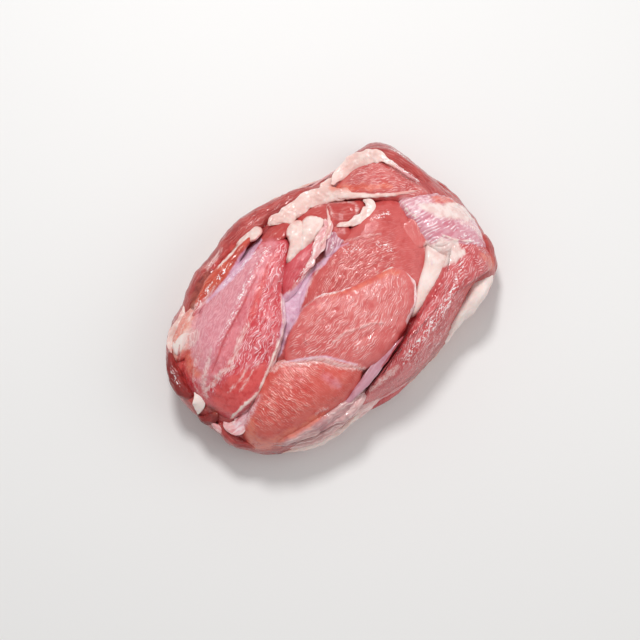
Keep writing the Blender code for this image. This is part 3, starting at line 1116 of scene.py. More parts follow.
SKIN_FOLD = Finish("skin_fold", (182, 124, 128), (212, 168, 166), (240, 214, 210), 0.7,
                   fine=1.8, gap=3.4, length=16.0, wander=2.4, ridge=0.8, start=-4.0,
                   full=0.0, crease_shade_share=0.0)
OUTER_FAT = Finish("outer_fat", (214, 136, 124), (232, 190, 176), (246, 226, 216), 0.5,
                   fine=2.0, gap=5.0, length=9.0, wander=2.6, ridge=0.4, start=-3.0,
                   full=1.0, crease_shade_share=0.0, roughness=0.4, coat=0.4)
CORE_FLESH = Finish("core_flesh", (156, 50, 52), (184, 78, 76), (212, 136, 132), 0.3,
                    length=12.0, crease_shade_share=0.0)

SIDE_OUTLINE: Line = [
    (90, 53), (97, 35), (101, 8), (104, -13), (101, -32), (94, -51), (81, -60), (59, -62),
    (37, -67), (11, -70), (-15, -67), (-37, -65), (-59, -61), (-84, -51), (-95, -37),
    (-101, -17), (-103, -3), (-104, 14), (-96, 35), (-81, 49), (-62, 55), (-42, 63),
    (-18, 69), (10, 69), (34, 62), (56, 58), (76, 59),
]


@dataclass(frozen=True)
class Muscles:
    """The muscles, pads and skin that make the top."""

    # The six muscles that a cook would name, and the skin at the right end.
    large: tuple[Form, ...] = (
        Lobe("front_muscle", RED_MUSCLE, fibres=Fibres(-6, -0.01), lift=-0.4, crown=3.0,
             outline=[(61, 22.5), (69.5, 15.5), (68, -2), (64, -17), (46, -31), (20, -28),
             (-14, -18), (-16, 2), (3, 14), (24, 17), (40, 20), (51, 22)]),
        Lobe("middle_muscle", SALMON_MUSCLE, fibres=Fibres(14, 0.006), lift=2.6, crown=3.4,
             drop=5.5, overlap=0.8, squareness=12.0, rims=(Rim(Layer.RIM, -50, 118, 1.9),),
             outline=[(44, -14), (46, -26), (39, -37), (21, -46), (0, -51), (-19, -43), (-31, -28),
             (-43, -20), (-38, -10), (-20, 0), (-3, 1), (14, -6), (31, -10)]),
        Lobe("lower_muscle", ORANGE_MUSCLE, fibres=Fibres(-76, 0.004), lift=2.0, crown=3.6,
             squareness=9.0, rims=(Rim(Layer.FROST, 18, 100, 4.0),), outline=[(-48, -14),
             (-30, -23), (-17, -38), (-11, -47), (-28, -55), (-58, -53), (-82, -47), (-89, -40),
             (-87, -30), (-68, -21)]),
        Lobe("left_muscle", MARBLED_MUSCLE, fibres=Fibres(26), lift=1.8, crown=5.0, squareness=9.0,
             rims=(Rim(Layer.FAT, -128, -80, 1.7), Rim(Layer.RIM, -100, -2, 1.4)),
             outline=[(-7, 49), (3, 40), (-2, 31), (-16, 20), (-28, 4), (-45, -9), (-65, -19),
             (-85, -21), (-93, -8), (-95, 8), (-91, 21), (-79, 29), (-67, 38), (-48, 45),
             (-27, 47)]),
        Lobe("right_muscle", RIBBED_MUSCLE, fibres=Fibres(22, -0.003), lift=1.0, crown=5.0,
             drop=6.5, outline=[(66, -31), (75, -26), (82, -22), (89, -25), (95, -33), (96, -44),
             (91, -50), (84, -51), (76, -50.5), (66, -53), (55, -57.5), (44, -62), (24, -68),
             (-4, -71), (-27, -65), (-21, -59), (-2, -56), (25, -48), (54, -37)]),
        Lobe("top_muscle", TOP_MUSCLE, fibres=Fibres(-34, 0.002), crown=3.6, outline=[(46, 42),
             (50, 48), (60, 50), (70, 47), (79, 41), (85, 25), (88, 8), (75, 12), (61, 24),
             (51, 34)]),
        Lobe("skin_cap", CAP_SKIN, fibres=Fibres(-10), ragged=1.4, lift=0.4, crown=3.0, drop=5.5,
             outline=[(71, 14), (88, 6), (99, -5), (100.5, -25), (96, -39), (82, -36), (70, -25),
             (66, -10), (68, 1)]),
    )
    # Slips of muscle between the large muscles.
    small: tuple[Form, ...] = (
        Lobe("dark_muscle", DARK_MUSCLE, 6, fibres=Fibres(-30), lift=-1.6, crown=2.6, drop=4.0,
             outline=[(18, 45), (27, 46), (34, 43), (40, 39), (47, 34), (54, 29), (52, 24),
             (45, 22), (37, 23), (30, 25), (24, 30), (19, 37)]),
        Lobe("slim_muscle", PINK_MUSCLE, 6, fibres=Fibres(20), lift=-2.0, crown=3.6, drop=4.5,
             outline=[(-5, 29), (1, 30), (10, 31), (17, 31), (20, 28), (18, 25), (11, 22), (4, 19),
             (-2, 16), (-9, 13), (-20, 12), (-17, 19), (-12, 25)]),
        Lobe("small_muscle", DARK_MUSCLE, 6, fibres=Fibres(10), lift=0.4, crown=0.8, drop=3.4,
             uneven=0.4, outline=[(-2, 51), (6, 51), (11, 47), (9, 43), (3, 42), (-3, 43),
             (-8, 48)]),
        Lobe("purple_slip", DARK_MUSCLE, 6, lift=-0.5, crown=0.3, drop=2.6, overlap=0.8,
             outline=[(28, 27), (33, 27), (36, 23), (35, 18), (30, 16), (26, 20)]),
        Lobe("purple_tail", LILAC_SKIN, 6, fibres=Fibres(30), lift=-1.0, crown=2.4, drop=4.0,
             outline=[(29, 25), (28, 20), (29, 17), (24, 15), (19, 15), (16, 17), (20, 22),
             (24, 25)]),
        Lobe("front_tab", SALMON_MUSCLE, 6, fibres=Fibres(60), ragged=0.9, ragged_length=3.0,
             crown=0.6, drop=4.5, overlap=0.2, squareness=12.0, outline=[(57, 3), (68, 3),
             (72.5, 0), (73, -5), (71.5, -11), (68, -15), (60, -15), (56, -6)]),
        Lobe("margin_pad", MARGIN_FAT, 6, uneven=0.4, uneven_length=5.0, ragged=1.2, lift=1.0,
             crown=1.2, drop=4.0, squareness=5.0, outline=[(-62, 50), (-70, 48), (-80, 44),
             (-88, 39), (-92, 32), (-88, 27), (-81, 26), (-74, 28), (-68, 34), (-62, 42)]),
    )
    # Pads of fat and sheets of skin.
    pads: tuple[Form, ...] = (
        Lobe("skin_wedge", SMOOTH_FAT, 6, fibres=Fibres(12), ragged=0.3, uneven=0.1, lift=-1.6,
             crown=1.5, drop=3.0, outline=[(67, -16), (71, -28), (67, -36), (55, -38), (44, -42),
             (32, -42), (43, -34), (56, -25)]),
        Lobe("fat_bulb_left", CREAM_FAT, 6, uneven=0.5, uneven_length=5.0, lift=0.6, crown=2.5,
             drop=3.4, overlap=0.8, outline=[(-5, 28), (1, 34), (5, 37), (6, 42), (9, 45),
             (14, 45.5), (18, 43), (18, 38), (14, 34), (9, 30), (1, 28)]),
        Lobe("fat_bulb_right", CREAM_FAT, 6, uneven=0.5, uneven_length=5.0, lift=0.8, crown=2.8,
             drop=3.4, overlap=0.8, outline=[(17, 41), (21, 42.5), (26, 40), (29, 36), (27, 32),
             (20, 30), (13, 28), (6, 29), (11, 35)]),
        Lobe("side_fat", CREAM_FAT, 6, uneven=0.4, ragged=1.6, ragged_length=3.5, lift=2.2,
             crown=0.7, drop=2.4, overlap=0.6, outline=[(-21, 59.5), (-14, 62), (-8, 61.5),
             (-3, 58), (-4, 53.5), (-10, 52), (-14, 54.5), (-19, 56)]),
        Lobe("brown_patch", BROWN_MUSCLE, 6, uneven=0.4, lift=2.6, crown=1.5, drop=3.0,
             outline=[(-64, 48), (-60, 55), (-50, 57), (-42, 55), (-40, 52), (-47, 49), (-56, 47),
             (-62, 44)]),
        Lobe("cream_slab", SMOOTH_FAT, 6, uneven=0.3, ragged=0.6, ragged_length=3.0, lift=1.9,
             crown=0.7, drop=1.8, overlap=0.3, edge_latitude=-0.6, outline=[(-88, 37), (-83, 38),
             (-76, 37), (-73, 35.5), (-77, 32.5), (-84, 30), (-89, 30)]),
    )

    def forms(self) -> tuple[Form, ...]:
        """Every domed form, the large ones first."""
        return self.large + self.small + self.pads


@dataclass(frozen=True)
class FatRidges:
    """Fat ridges and strips that follow the mound."""

    # The long ridge and its ends, the strips along the far edge, then the seams.
    ridges: tuple[Form, ...] = (
        FlatRidge("fat_ridge", CREAM_FAT, 7, lift=0.4, half_height=2.3, line=[(2, 54, 2.0),
                  (7, 53.8, 3.8), (13.5, 51.5, 5.2), (20.5, 50.5, 5.6), (28.5, 50.5, 5.8),
                  (35.5, 48.2, 5.6), (41.5, 44.5, 5.0), (47, 39.5, 4.0), (51, 35, 2.6)]),
        FlatRidge("fat_ridge_end", CREAM_FAT, lift=1.2, half_height=2.0, line=[(3, 53, 1.8),
                  (8, 52, 3.6), (14, 50, 4.2), (19, 48, 2.4)]),
        FlatRidge("fat_ridge_horn", CREAM_FAT, lift=0.8, half_height=1.8, line=[(40, 50, 2.6),
                  (45, 50.5, 2.6), (51, 51, 1.8)]),
        Roll("fat_seam", CREAM_FAT, 6, uneven=0.2, ragged=0.6, ragged_length=3.0, lift=1.0,
             half_height=2.2, bluntness=0.5, flatness=0.4, line=[(44, 40.5, 2.6), (51.3, 34.5, 2.2),
             (58.5, 28, 1.7), (65.9, 22.2, 1.3), (71.8, 18.2, 1.0), (78.3, 14.8, 0.8),
             (84, 12.4, 0.5)]),
        Lobe("fat_ridge_knob", CREAM_FAT, 6, lift=1.0, crown=1.6, drop=3.0, overlap=0.4,
             outline=[(46, 43), (50, 43.5), (53, 41), (53, 37), (50, 35), (47, 38)]),
        FlatRidge("outer_fat_strip", CREAM_FAT, lift=2.6, half_height=1.9, line=[(47, 49, 2.0),
                  (53, 50.2, 3.2), (60.4, 50.8, 4.2), (67, 50.2, 5.0), (73, 48, 5.0),
                  (77.6, 45, 4.4), (80.3, 41.3, 3.0), (81.9, 36.8, 1.8), (82.7, 31.3, 1.3)]),
        Roll("outer_fat_tail", CONNECTIVE, 6, uneven=0.3, ragged=0.7, ragged_length=2.5, lift=2.8,
             half_height=1.4, flatness=0.4, line=[(82.4, 37, 0.8), (83.4, 31.3, 1.2),
             (84.6, 25, 0.9), (86.2, 20, 0.9), (87.7, 16, 0.5)]),
        Roll("side_strip", STRIP_MUSCLE, 6, uneven=0.5, lift=1.0, half_height=3.6, bluntness=0.4,
             line=[(-11, 55, 2.4), (-20, 53, 3.8), (-28.3, 51.2, 4.8), (-36.5, 49, 5.4),
             (-45, 47.6, 5.8), (-53, 45.6, 5.6), (-60, 43.2, 4.8), (-67, 40.5, 3.2)]),
        FlatRidge("curved_fat", CREAM_FAT, lift=0.2, half_height=0.9, line=[(54, 28.5, 1.4),
                  (55.5, 25.5, 3.0), (54, 22.4, 3.4), (48.5, 20.6, 3.2), (42.2, 21.2, 2.4),
                  (36.5, 23.4, 1.6), (31.5, 26.3, 0.8)]),
        FlatRidge("connective_strip", CONNECTIVE, lift=-0.4, half_height=1.3, line=[(34, 39, 0.9),
                  (31, 34, 2.0), (28.2, 30, 3.0), (24, 27.8, 3.6), (19.5, 26, 3.4), (14, 22.8, 2.8),
                  (5, 18.8, 2.2), (-4, 16.8, 1.0)]),
        Roll("connective_thread", CREAM_FAT, 6, uneven=0.3, ragged=0.6, ragged_length=2.5, lift=0.8,
             half_height=1.0, flatness=0.3, line=[(35.5, 40, 0.5), (33, 36, 0.8), (30.6, 31.5, 1.0),
             (27.5, 28.4, 0.9), (21.5, 25.2, 0.8), (15, 21.8, 0.5)]),
        Roll("gap_membrane", LILAC_SKIN, 6, uneven=0.3, lift=0.7, half_height=1.8, bluntness=0.4,
             flatness=0.3, line=[(20, -48.5, 0.8), (8, -50.5, 2.2), (0, -51.5, 3.0), (-8, -53, 3.4),
             (-16, -54.5, 3.2), (-26, -56, 2.0), (-36, -57, 0.8)]),
        FlatRidge("margin_fat", CREAM_FAT, lift=1.6, half_height=1.3, line=[(-64, 51, 0.8),
                  (-68, 48.5, 1.8), (-74, 46, 1.8), (-81, 43, 2.2), (-87, 39, 2.0),
                  (-91, 33, 1.0)]),
    )

    def forms(self) -> tuple[Form, ...]:
        """Every ridge and strip."""
        return self.ridges


@dataclass(frozen=True)
class SideWall:
    """Rolls, feet and folds of the side wall."""

    # The far side and the right end.
    far: tuple[Form, ...] = (
        Roll("top_rim_roll", RIM_MUSCLE, 6, half_height=11.5, line=[(40, 52.5, 22, 7.5),
             (66, 50.3, 27, 7.5), (80.5, 46.5, 28, 7.5), (88, 33, 28, 7.5), (92, 16, 26, 7),
             (93.5, 2, 21, 6)]),
        Roll("side_roll", RIM_MUSCLE, half_height=12.0, line=[(44, 52, 25, 8.5), (14, 60, 29, 8.5),
             (-18, 60.5, 29, 8.5), (-42, 55, 28, 8.5), (-62, 47, 27, 8.5), (-88, 34, 22, 8.5)]),
        Roll("side_foot", RIM_MUSCLE, 6, half_height=9.5, line=[(56, 51, 8, 7), (24, 59, 11, 7),
             (-10, 62, 13, 7), (-40, 56, 12, 7), (-74, 43, 8, 7)]),
        BaseFat("far_fat_sheet", OUTER_FAT, line=[(74, 48.5, 4, 4), (42, 57, 7, 6.5),
                (14, 62.3, 9, 7), (-12, 63.3, 10, 7), (-34, 59.5, 9, 7), (-56, 51, 7, 6.5),
                (-86, 35, 4, 4)]),
        Seam("far_seam", CONNECTIVE, half_height=1.4, line=[(60, 55.6, 27, 0.6),
             (40, 58.6, 24, 1.2), (18, 65.6, 22, 1.4), (-6, 67.8, 21, 1.2), (-30, 64.8, 23, 0.6)]),
        Seam("end_seam", CONNECTIVE, half_height=1.5, line=[(92, 38, 24, 0.6), (96.5, 20, 21, 1.2),
             (99.8, 2, 18, 1.3), (101, -14, 15, 1.0), (99, -30, 13, 0.6)]),
        Roll("right_end_foot", RIM_MUSCLE, 6, half_height=9.5, line=[(91, 44, 8, 7),
             (95, 14, 12, 7), (98, -8, 12, 7), (94, -40, 8, 7)]),
    )
    # The near side: a sheet of fat and folded skin.
    near: tuple[Form, ...] = (
        Roll("side_fat_pad", SMOOTH_FAT, 6, ragged=1.8, ragged_length=9.0, half_height=9.5,
             bluntness=0.5, swelling=0.4, uneven=0.3, line=[(97, -33, 8, 3.5), (93, -43, 13, 4.8),
             (86.5, -50, 23, 6.4), (78, -54.2, 29, 7.8), (70, -56.2, 30, 7.6), (63, -58, 28.5, 6.6),
             (56, -59.7, 25.5, 5.4), (49, -61.5, 22, 4.4), (42, -63.6, 17, 3.6),
             (33, -65, 12, 2.6)]),
        Roll("right_wall_roll", RIM_MUSCLE, 6, half_height=13.0, line=[(99, -28, 21, 5),
             (95, -40, 20, 6), (88, -49, 17, 6), (70, -56, 14, 5)]),
        BaseFat("near_foot_fat", OUTER_FAT, line=[(92, -42, 4, 4), (74, -53.4, 7, 6),
                (52, -57.8, 8, 6), (28, -62.2, 9, 6), (6, -64.6, 9, 6.2), (-16, -63.2, 9, 6),
                (-40, -61, 5, 4)]),
        Roll("skin_fold_upper", SKIN_FOLD, uneven=0.6, half_height=7.5, line=[(-14, -58, 36, 6),
             (-34, -56, 38, 6), (-54, -53, 37, 6), (-70, -48, 35, 6), (-86, -38, 28, 6)]),
        Roll("skin_fold_lower", SKIN_FOLD, uneven=0.6, half_height=11.5, line=[(-6, -64, 18, 7),
             (-34, -61, 22, 7), (-56, -58, 20, 7), (-84, -44, 16, 7)]),
        Roll("skin_flap", SKIN_FOLD, 6, ragged=1.0, uneven=0.5, half_height=3.6, bluntness=0.5,
             line=[(-18, -59.5, 38, 2.4), (-25, -60, 39, 4.6), (-34, -60, 38, 4.8),
             (-43, -58.5, 37, 3.6), (-56, -55.5, 37, 2.2), (-66, -52, 35, 1.2)]),
        Roll("skin_flap_fold", SKIN_FOLD, 6, ragged=0.6, ragged_length=3.0, uneven=0.4,
             half_height=2.0, flatness=0.2, line=[(-22, -62.6, 37, 0.8), (-34, -64, 35.5, 1.4),
             (-48, -61.6, 34.5, 1.4), (-62, -58, 32.5, 1.2), (-76, -51.6, 30, 0.8)]),
        Roll("flap_hem", CREAM_FAT, 6, ragged=1.2, ragged_length=4.0, uneven=0.5, half_height=4.0,
             bluntness=0.4, line=[(-24, -65, 29, 1.4), (-33, -66, 27, 2.6), (-44, -65.5, 24, 2.4),
             (-56, -63, 21, 2.6), (-67, -59, 19, 2.2), (-78, -54, 17, 1.2)]),
        Roll("lower_foot", SKIN_FOLD, 6, half_height=9.5, line=[(56, -57, 8, 7), (16, -63, 11, 7),
             (-8, -63, 11, 7), (-36, -59, 8, 7)]),
    )
    # The left end: a red lip, a small flap and the folds around it.
    left_end: tuple[Form, ...] = (
        Roll("left_end_roll", RIM_MUSCLE, 6, half_height=12.0, line=[(-88, 38, 21, 7.5),
             (-96, 14, 24, 7.5), (-96, -4, 23, 7.5), (-90, -28, 20, 7.5)]),
        Roll("left_end_flap", RIM_MUSCLE, 6, half_height=7.5, line=[(-95, -16, 31, 3.4),
             (-96, -27, 27, 3.8), (-91, -37, 25, 3.6), (-84, -44, 24, 3)]),
        Roll("left_lip", LIP_MUSCLE, 6, uneven=0.4, half_height=5.5, bluntness=0.4,
             line=[(-91, 35, 31, 2.4), (-95, 28, 33, 4.2), (-98, 19, 34, 5.2), (-99, 11, 34, 5.0),
             (-97, 4, 33, 3.2)]),
        Roll("end_flap", SMOOTH_FAT, 6, ragged=0.4, ragged_length=3.0, uneven=0.2, half_height=1.0,
             flatness=0.5, swelling=0.1, line=[(-95, 6.5, 38.5, 0.4),
             (-96, 2.4, 38.5, 2.6), (-97.3, -0.8, 37, 3.6), (-100, -3.4, 34, 2.4),
             (-102, -4.8, 31.5, 0.6)]),
        Roll("end_lip", LIP_MUSCLE, 6, uneven=0.4, half_height=3.6, bluntness=0.4,
             line=[(-102, -5, 28, 1.4), (-101, -9, 30, 3.0), (-97, -12, 33, 3.6),
             (-92, -12, 36, 2.4)]),
        Roll("end_fold", CONNECTIVE, 6, ragged=0.8, ragged_length=3.0, half_height=3.2,
             bluntness=0.4, line=[(-99, -12, 31, 0.9), (-98, -17, 33, 1.6), (-96.5, -23, 32, 1.6),
             (-93, -30, 31, 0.9)]),
        Seam("near_seam", CONNECTIVE, half_height=1.6, line=[(38, -64, 25, 0.6),
             (24, -66.6, 23, 1.2), (8, -68.6, 21, 1.5), (-8, -67.4, 21, 1.2), (-22, -65, 23, 0.7)]),
        Roll("end_membrane", CONNECTIVE, 6, ragged=0.8, uneven=0.3, half_height=1.3, bluntness=0.15,
             flatness=0.6, line=[(-93, -18, 36.5, 0.8), (-92.4, -22.5, 37.5, 3.0),
             (-88.5, -26, 39.4, 4.2), (-81, -25.5, 42, 3.4), (-72, -22, 44.2, 1.4)]),
        Roll("membrane_edge", CREAM_FAT, 6, ragged=0.5, ragged_length=2.5, uneven=0.3,
             half_height=1.4, flatness=0.3, line=[(-92, -22, 38, 0.8), (-90, -27.5, 38, 1.3),
             (-84, -27, 41, 0.9), (-76, -24, 43.5, 0.4)]),
    )

    def forms(self) -> tuple[Form, ...]:
        """Every roll, from the far side round to the left end."""
        return self.far + self.near + self.left_end


@dataclass(frozen=True)
class Markings:
    """Fat, silverskin, pale film, dark red that is partly painted shade in grooves, warm
    tones, painted highlights and smooth places on the muscles.
    """

    # The left muscle: film and silverskin on its left half, a seam down its middle.
    left: tuple[Mark, ...] = (
        *marks(Layer.FILM, [(-7, 47), (0, 42), (-8, 37), (-17, 33), (-30, 26), (-42, 19), (-54, 11),
               (-66, 5), (-80, 3), (-90, 5), (-84, 20), (-70, 32), (-57, 41), (-34, 43)]),
        *marks(Layer.SILVER, [(-10, 45), (-18, 39), (-28, 33), (-41, 27), (-52, 22), (-66, 16),
               (-78, 10), (-85, 14), (-81, 26), (-73, 36), (-59, 44), (-34, 44)]),
        *marks(Layer.FROST, [(-72, 35), (-70, 31), (-74, 27), (-80, 27), (-84, 30), (-80, 34),
               (-76, 37)], [(-60, 45, 0.4), (-66, 43, 0.9), (-70, 40, 0.5)], [(-71.8, 17, 0.6),
               (-77, 13, 1.2), (-83, 9.5, 1.5), (-88, 5, 1.6), (-91, -1, 1.0)], [(-68, 1, 1.0),
               (-75, 3, 1.6), (-82, 2, 1.6), (-88, 2, 1.2)], [(-46, 14, 0.8), (-54, 11, 1.4),
               (-62, 6, 1.4), (-70, 4, 0.8)], [(-54, -6, 0.3), (-64, -9, 0.4), (-74, -12, 0.3)],
               [(-60, -4, 0.3), (-70, -7, 0.35), (-80, -8, 0.3)]),
        *marks(Layer.CALM, [(-18, 41), (-30, 34), (-44, 27), (-60, 20), (-78, 10), (-88, 10),
               (-84, 22), (-68, 34), (-50, 43), (-28, 44)], [(-56, -8), (-66, -3), (-80, -1),
               (-91, -4), (-90, -20), (-66, -20), (-52, -14)], soft=3.0),
        *marks(Layer.CALM, [(-33, 26), (-44, 20), (-58, 13), (-72, 7), (-78, 6), (-66, 12),
               (-50, 20), (-36, 27)], soft=2.0),
        *marks(Layer.RED, [(-52, -9), (-60, -7), (-66, -4), (-76, -2), (-88, -3), (-91, -10),
               (-86, -18), (-70, -18), (-58, -15)], [(-81, 28), (-75, 22), (-80, 17), (-88, 15),
               (-94, 13), (-93, 22), (-89, 28)]),
        *marks(Layer.RED, [(-7, 38, 0.8), (-15, 34, 1.3), (-21, 30, 1.6), (-27, 26, 1.8),
               (-35, 21, 1.5), (-42, 16, 0.8)], rise=-0.3),
        *marks(Layer.ROUGH, [(-2, 40), (-16, 32), (-30, 24), (-44, 15), (-58, 4), (-62, -3),
               (-52, -9), (-38, -4), (-24, 13), (-10, 26)], soft=3.0),
        # Dark red along the left muscle's groove: partly painted shade.
        *marks(Layer.BLOOD_AND_SHADE, [(-24, 33, 0.2), (-33, 29, 0.35), (-41, 25, 0.45), (-51, 21, 0.5),
               (-61, 17, 0.5), (-70, 12, 0.5), (-80, 7, 0.2)], rise=-0.9, soft=1.5),
        *marks(Layer.SHAPE, [(-12, 40, 1.5), (-28, 34, 1.2), (-44, 27, 1.2), (-60, 19.5, 1.2),
               (-74, 14, 1.0)], rise=0.8, soft=2.2),
        # Painted highlights: white sparkle dashes along the left muscle's crest.
        *marks(Layer.PAINTED_GLINT, [(-8, 42, 2.2), (-14, 39, 1.8), (-22, 37, 1.5), (-28, 34, 1.4),
               (-36, 31, 1.3), (-42, 27, 1.1), (-52, 23, 0.8), (-66, 17, 0.6)]),
        *marks(Layer.FAT, [(-19, 16, 0.3), (-25, 9, 0.4), (-31, 0, 0.5), (-39, -5, 0.6),
               (-48, -10, 0.6), (-56, -14, 0.7), (-66, -19, 0.9), (-75, -19.5, 0.9),
               (-85, -19.5, 0.7), (-89, -20, 0.4)], rise=0.5, on="left_muscle"),
        *marks(Layer.WARM, [(-82, 27), (-74, 23), (-79, 16), (-86, 11), (-90, 14), (-88, 22)]),
        *marks(Layer.FROST, [(-79, 21, 0.2), (-85, 17, 0.4), (-91, 11, 0.4), (-93, 5, 0.3)],
               rise=0.4),
        # Painted highlights: white sparkle dashes on the left lip.
        *marks(Layer.PAINTED_GLINT, [(-96, 27, 0.4), (-99, 20, 0.8), (-99, 15, 0.5)], on="left_lip"),
        # Dark red at the left end: partly painted shade.
        *marks(Layer.BLOOD_AND_SHADE, [(-84, 33, 0.2), (-88, 29, 0.5), (-91, 27, 0.3)]),
        *marks(Layer.BROWN, [(-94, -6, 1.2), (-93, -9, 1.4), (-93, -13, 0.8)]),
    )
    # Lilac membrane where the muscles part.
    gaps: tuple[Mark, ...] = (
        *marks(Layer.LILAC, [(-20, 15), (-12, 14), (-4, 15), (7, 17), (18, 16), (11, 13), (4, 14),
               (-1, 11), (-8, 7), (-15, 3), (-21, -1), (-31, -4), (-41, -10), (-45, -10), (-38, -4),
               (-28, 5)], [(-8, 50, 1.6), (-16, 48.5, 2.8), (-22, 47, 3.4), (-30, 45, 2.8),
               (-37, 43.5, 2.0), (-46, 42.5, 1.2), (-55, 42, 0.6)]),
        # Painted highlights: white sparkle dashes along the lilac membrane.
        *marks(Layer.PAINTED_GLINT, [(-14, 46, 0.7), (-24, 44, 0.7), (-34, 43, 0.7), (-41, 43, 0.5)]),
        *marks(Layer.PALE, [(-66, -21), (-76, -21), (-85, -22), (-89, -24), (-92, -30), (-86, -29),
               (-76, -26)]),
        # Dark red along the groove under the left muscle: partly painted shade.
        *marks(Layer.BLOOD_AND_SHADE, [(-68, -21, 0.3), (-75, -22, 0.7), (-82, -22, 0.8), (-87, -23, 0.4)],
               rise=-0.8, soft=1.4),
        # Dark red in the gap between the lower and right muscles: partly painted shade.
        *marks(Layer.BLOOD_AND_SHADE, [(20, -50, 0.8), (13, -52, 1.0), (5, -53, 1.0), (-1, -54, 0.5)]),
        *marks(Layer.CALM, [(20, -48, 3.0), (-2, -53, 3.0), (-28, -55, 2.0)]),
    )
    # The front and the middle muscle.
    middle: tuple[Mark, ...] = (
        *marks(Layer.FROST, [(-16, 2, 0.4), (-11, 1.5, 0.5), (-2, 0.5, 0.5), (1, -2, 0.3)],
               [(10, 14, 0.4), (2, 12, 0.5), (-3, 10, 0.4), (-9, 6, 0.4)]),
        *marks(Layer.FAT, [(1, -1.5, 0.2), (7, -4.5, 0.25), (11, -5.5, 0.25), (20, -7, 0.3),
               (26, -8.5, 0.35), (34, -11, 0.5), (40, -13, 0.6), (45, -15, 0.4)], rise=0.4,
               soft=0.8, on="middle_muscle"),
        *marks(Layer.FROST, [(45, -15, 0.4), (46.5, -19, 0.4), (47, -24, 0.4), (46, -28, 0.4),
               (42, -34, 0.4), (36, -39, 0.3)], rise=0.4, soft=0.8, on="middle_muscle"),
        *marks(Layer.WARM, [(2, -4, 0.8), (12, -8, 1.0), (24, -11, 1.2), (36, -14, 1.4),
               (41, -18, 1.0)], on="middle_muscle"),
        *marks(Layer.CALM, [(44, -14, 3.0), (44, -26, 2.6), (37, -37, 2.0)]),
        *marks(Layer.RED, [(-31, -5, 0.6), (-37, -9, 0.8), (-41, -13, 0.8), (-43, -17, 0.5)]),
        *marks(Layer.SHAPE, [(-26, -15, 0.8), (-23, -11, 0.8), (-19, -10, 0.8), (-10, -9, 0.8),
               (-2, -9, 0.6)], rise=0.6, soft=1.2),
        *marks(Layer.FROST, [(-14, -25, 0.3), (-7, -25, 0.4), (-2, -27, 0.4), (7, -30, 0.4),
               (10, -31, 0.4), (15, -35, 0.3)], rise=0.7, soft=1.2),
        *marks(Layer.SHAPE, [(-3, -34, 1.0), (6, -36, 1.0), (14, -36, 1.0)], rise=-0.5, soft=1.6),
        *marks(Layer.CALM, [(40, 14), (56, 20), (68, 13), (66, -4), (62, -18), (52, -26), (46, -14),
               (50, -2), (44, 6)], soft=3.0),
        *marks(Layer.ROUGH, [(36, 12), (20, 11), (2, 6), (-6, -6), (8, -6), (24, -4), (36, 2)],
               soft=3.0),
        # Dark red spot on the front muscle: partly painted shade.
        *marks(Layer.BLOOD_AND_SHADE, [(4, -1, 0.4), (6, -2, 0.4)]),
        *marks(Layer.LILAC, [(30, 14, 0.3), (24, 16, 0.4), (17, 15, 0.4), (10, 15, 0.4)]),
        *marks(Layer.SHAPE, [(0, 1, 0.7), (5, -1, 0.9), (11, 1, 0.9), (14, 0, 0.7)], rise=0.8,
               soft=1.4),
        *marks(Layer.FROST, [(29, 16, 0.3), (34, 14, 0.4), (40, 11, 0.4), (48, 6, 0.3)], rise=0.5,
               soft=1.2),
        # Painted highlights: white sparkle dashes on the front muscle.
        *marks(Layer.PAINTED_GLINT, [(50, 16, 1.0), (55, 14.5, 1.5), (60, 13, 1.3)], [(26, 12, 1.4),
               (30, 10, 1.8), (33, 7, 1.2)], [(43, 2, 1.2), (46, -2, 1.6), (46, -6, 1.0)]),
    )
    # The lower muscle and the folded skin under it.
    lower: tuple[Mark, ...] = (
        *marks(Layer.FROST, [(-46, -16, 0.8), (-41, -19, 1.2), (-34, -24, 1.8), (-27, -28, 2.2),
               (-23, -33, 2.0), (-20, -38, 2.0), (-15, -43, 1.8), (-10, -48, 1.0)], rise=0.5,
               soft=1.4),
        *marks(Layer.LILAC, [(-45, -15, 0.3), (-38, -19, 0.5), (-30, -24, 0.6), (-23, -29, 0.5),
               (-18, -36, 0.4), (-12, -44, 0.3)]),
        *marks(Layer.FILM, [(-31, -37, 1.4), (-29, -43, 2.0), (-28, -47, 1.0)]),
        *marks(Layer.CALM, [(-36, -34), (-27, -36), (-16, -45), (-28, -55), (-60, -53), (-86, -46),
               (-88, -34), (-78, -36), (-62, -44), (-46, -44)], soft=3.0),
        *marks(Layer.ROUGH, [(-44, -20), (-58, -20), (-72, -26), (-70, -36), (-54, -40), (-44, -36),
               (-38, -28)], soft=3.0),
        *marks(Layer.WARM, [(-80, -29, 2.0), (-84, -34, 3.0), (-86, -40, 3.0), (-80, -46, 2.6),
               (-64, -50, 2.4), (-46, -53, 1.8)]),
        *marks(Layer.FROST, [(-48, -50, 0.4), (-44, -51, 0.5), (-41, -52, 0.3)], rise=0.4),
        *marks(Layer.FROST, [(-22, -60, 2.0), (-32, -60, 3.0), (-42, -58, 2.4)], on="skin_flap"),
        # Partly painted light: pale film that also brightens the lower skin fold, whose wall turns
        # away from the key light.
        *marks(Layer.FROST, [(-14, -68, 1.6), (-36, -66, 2.4), (-58, -62, 2.4), (-76, -53, 1.4)],
               on="skin_fold_lower"),
    )
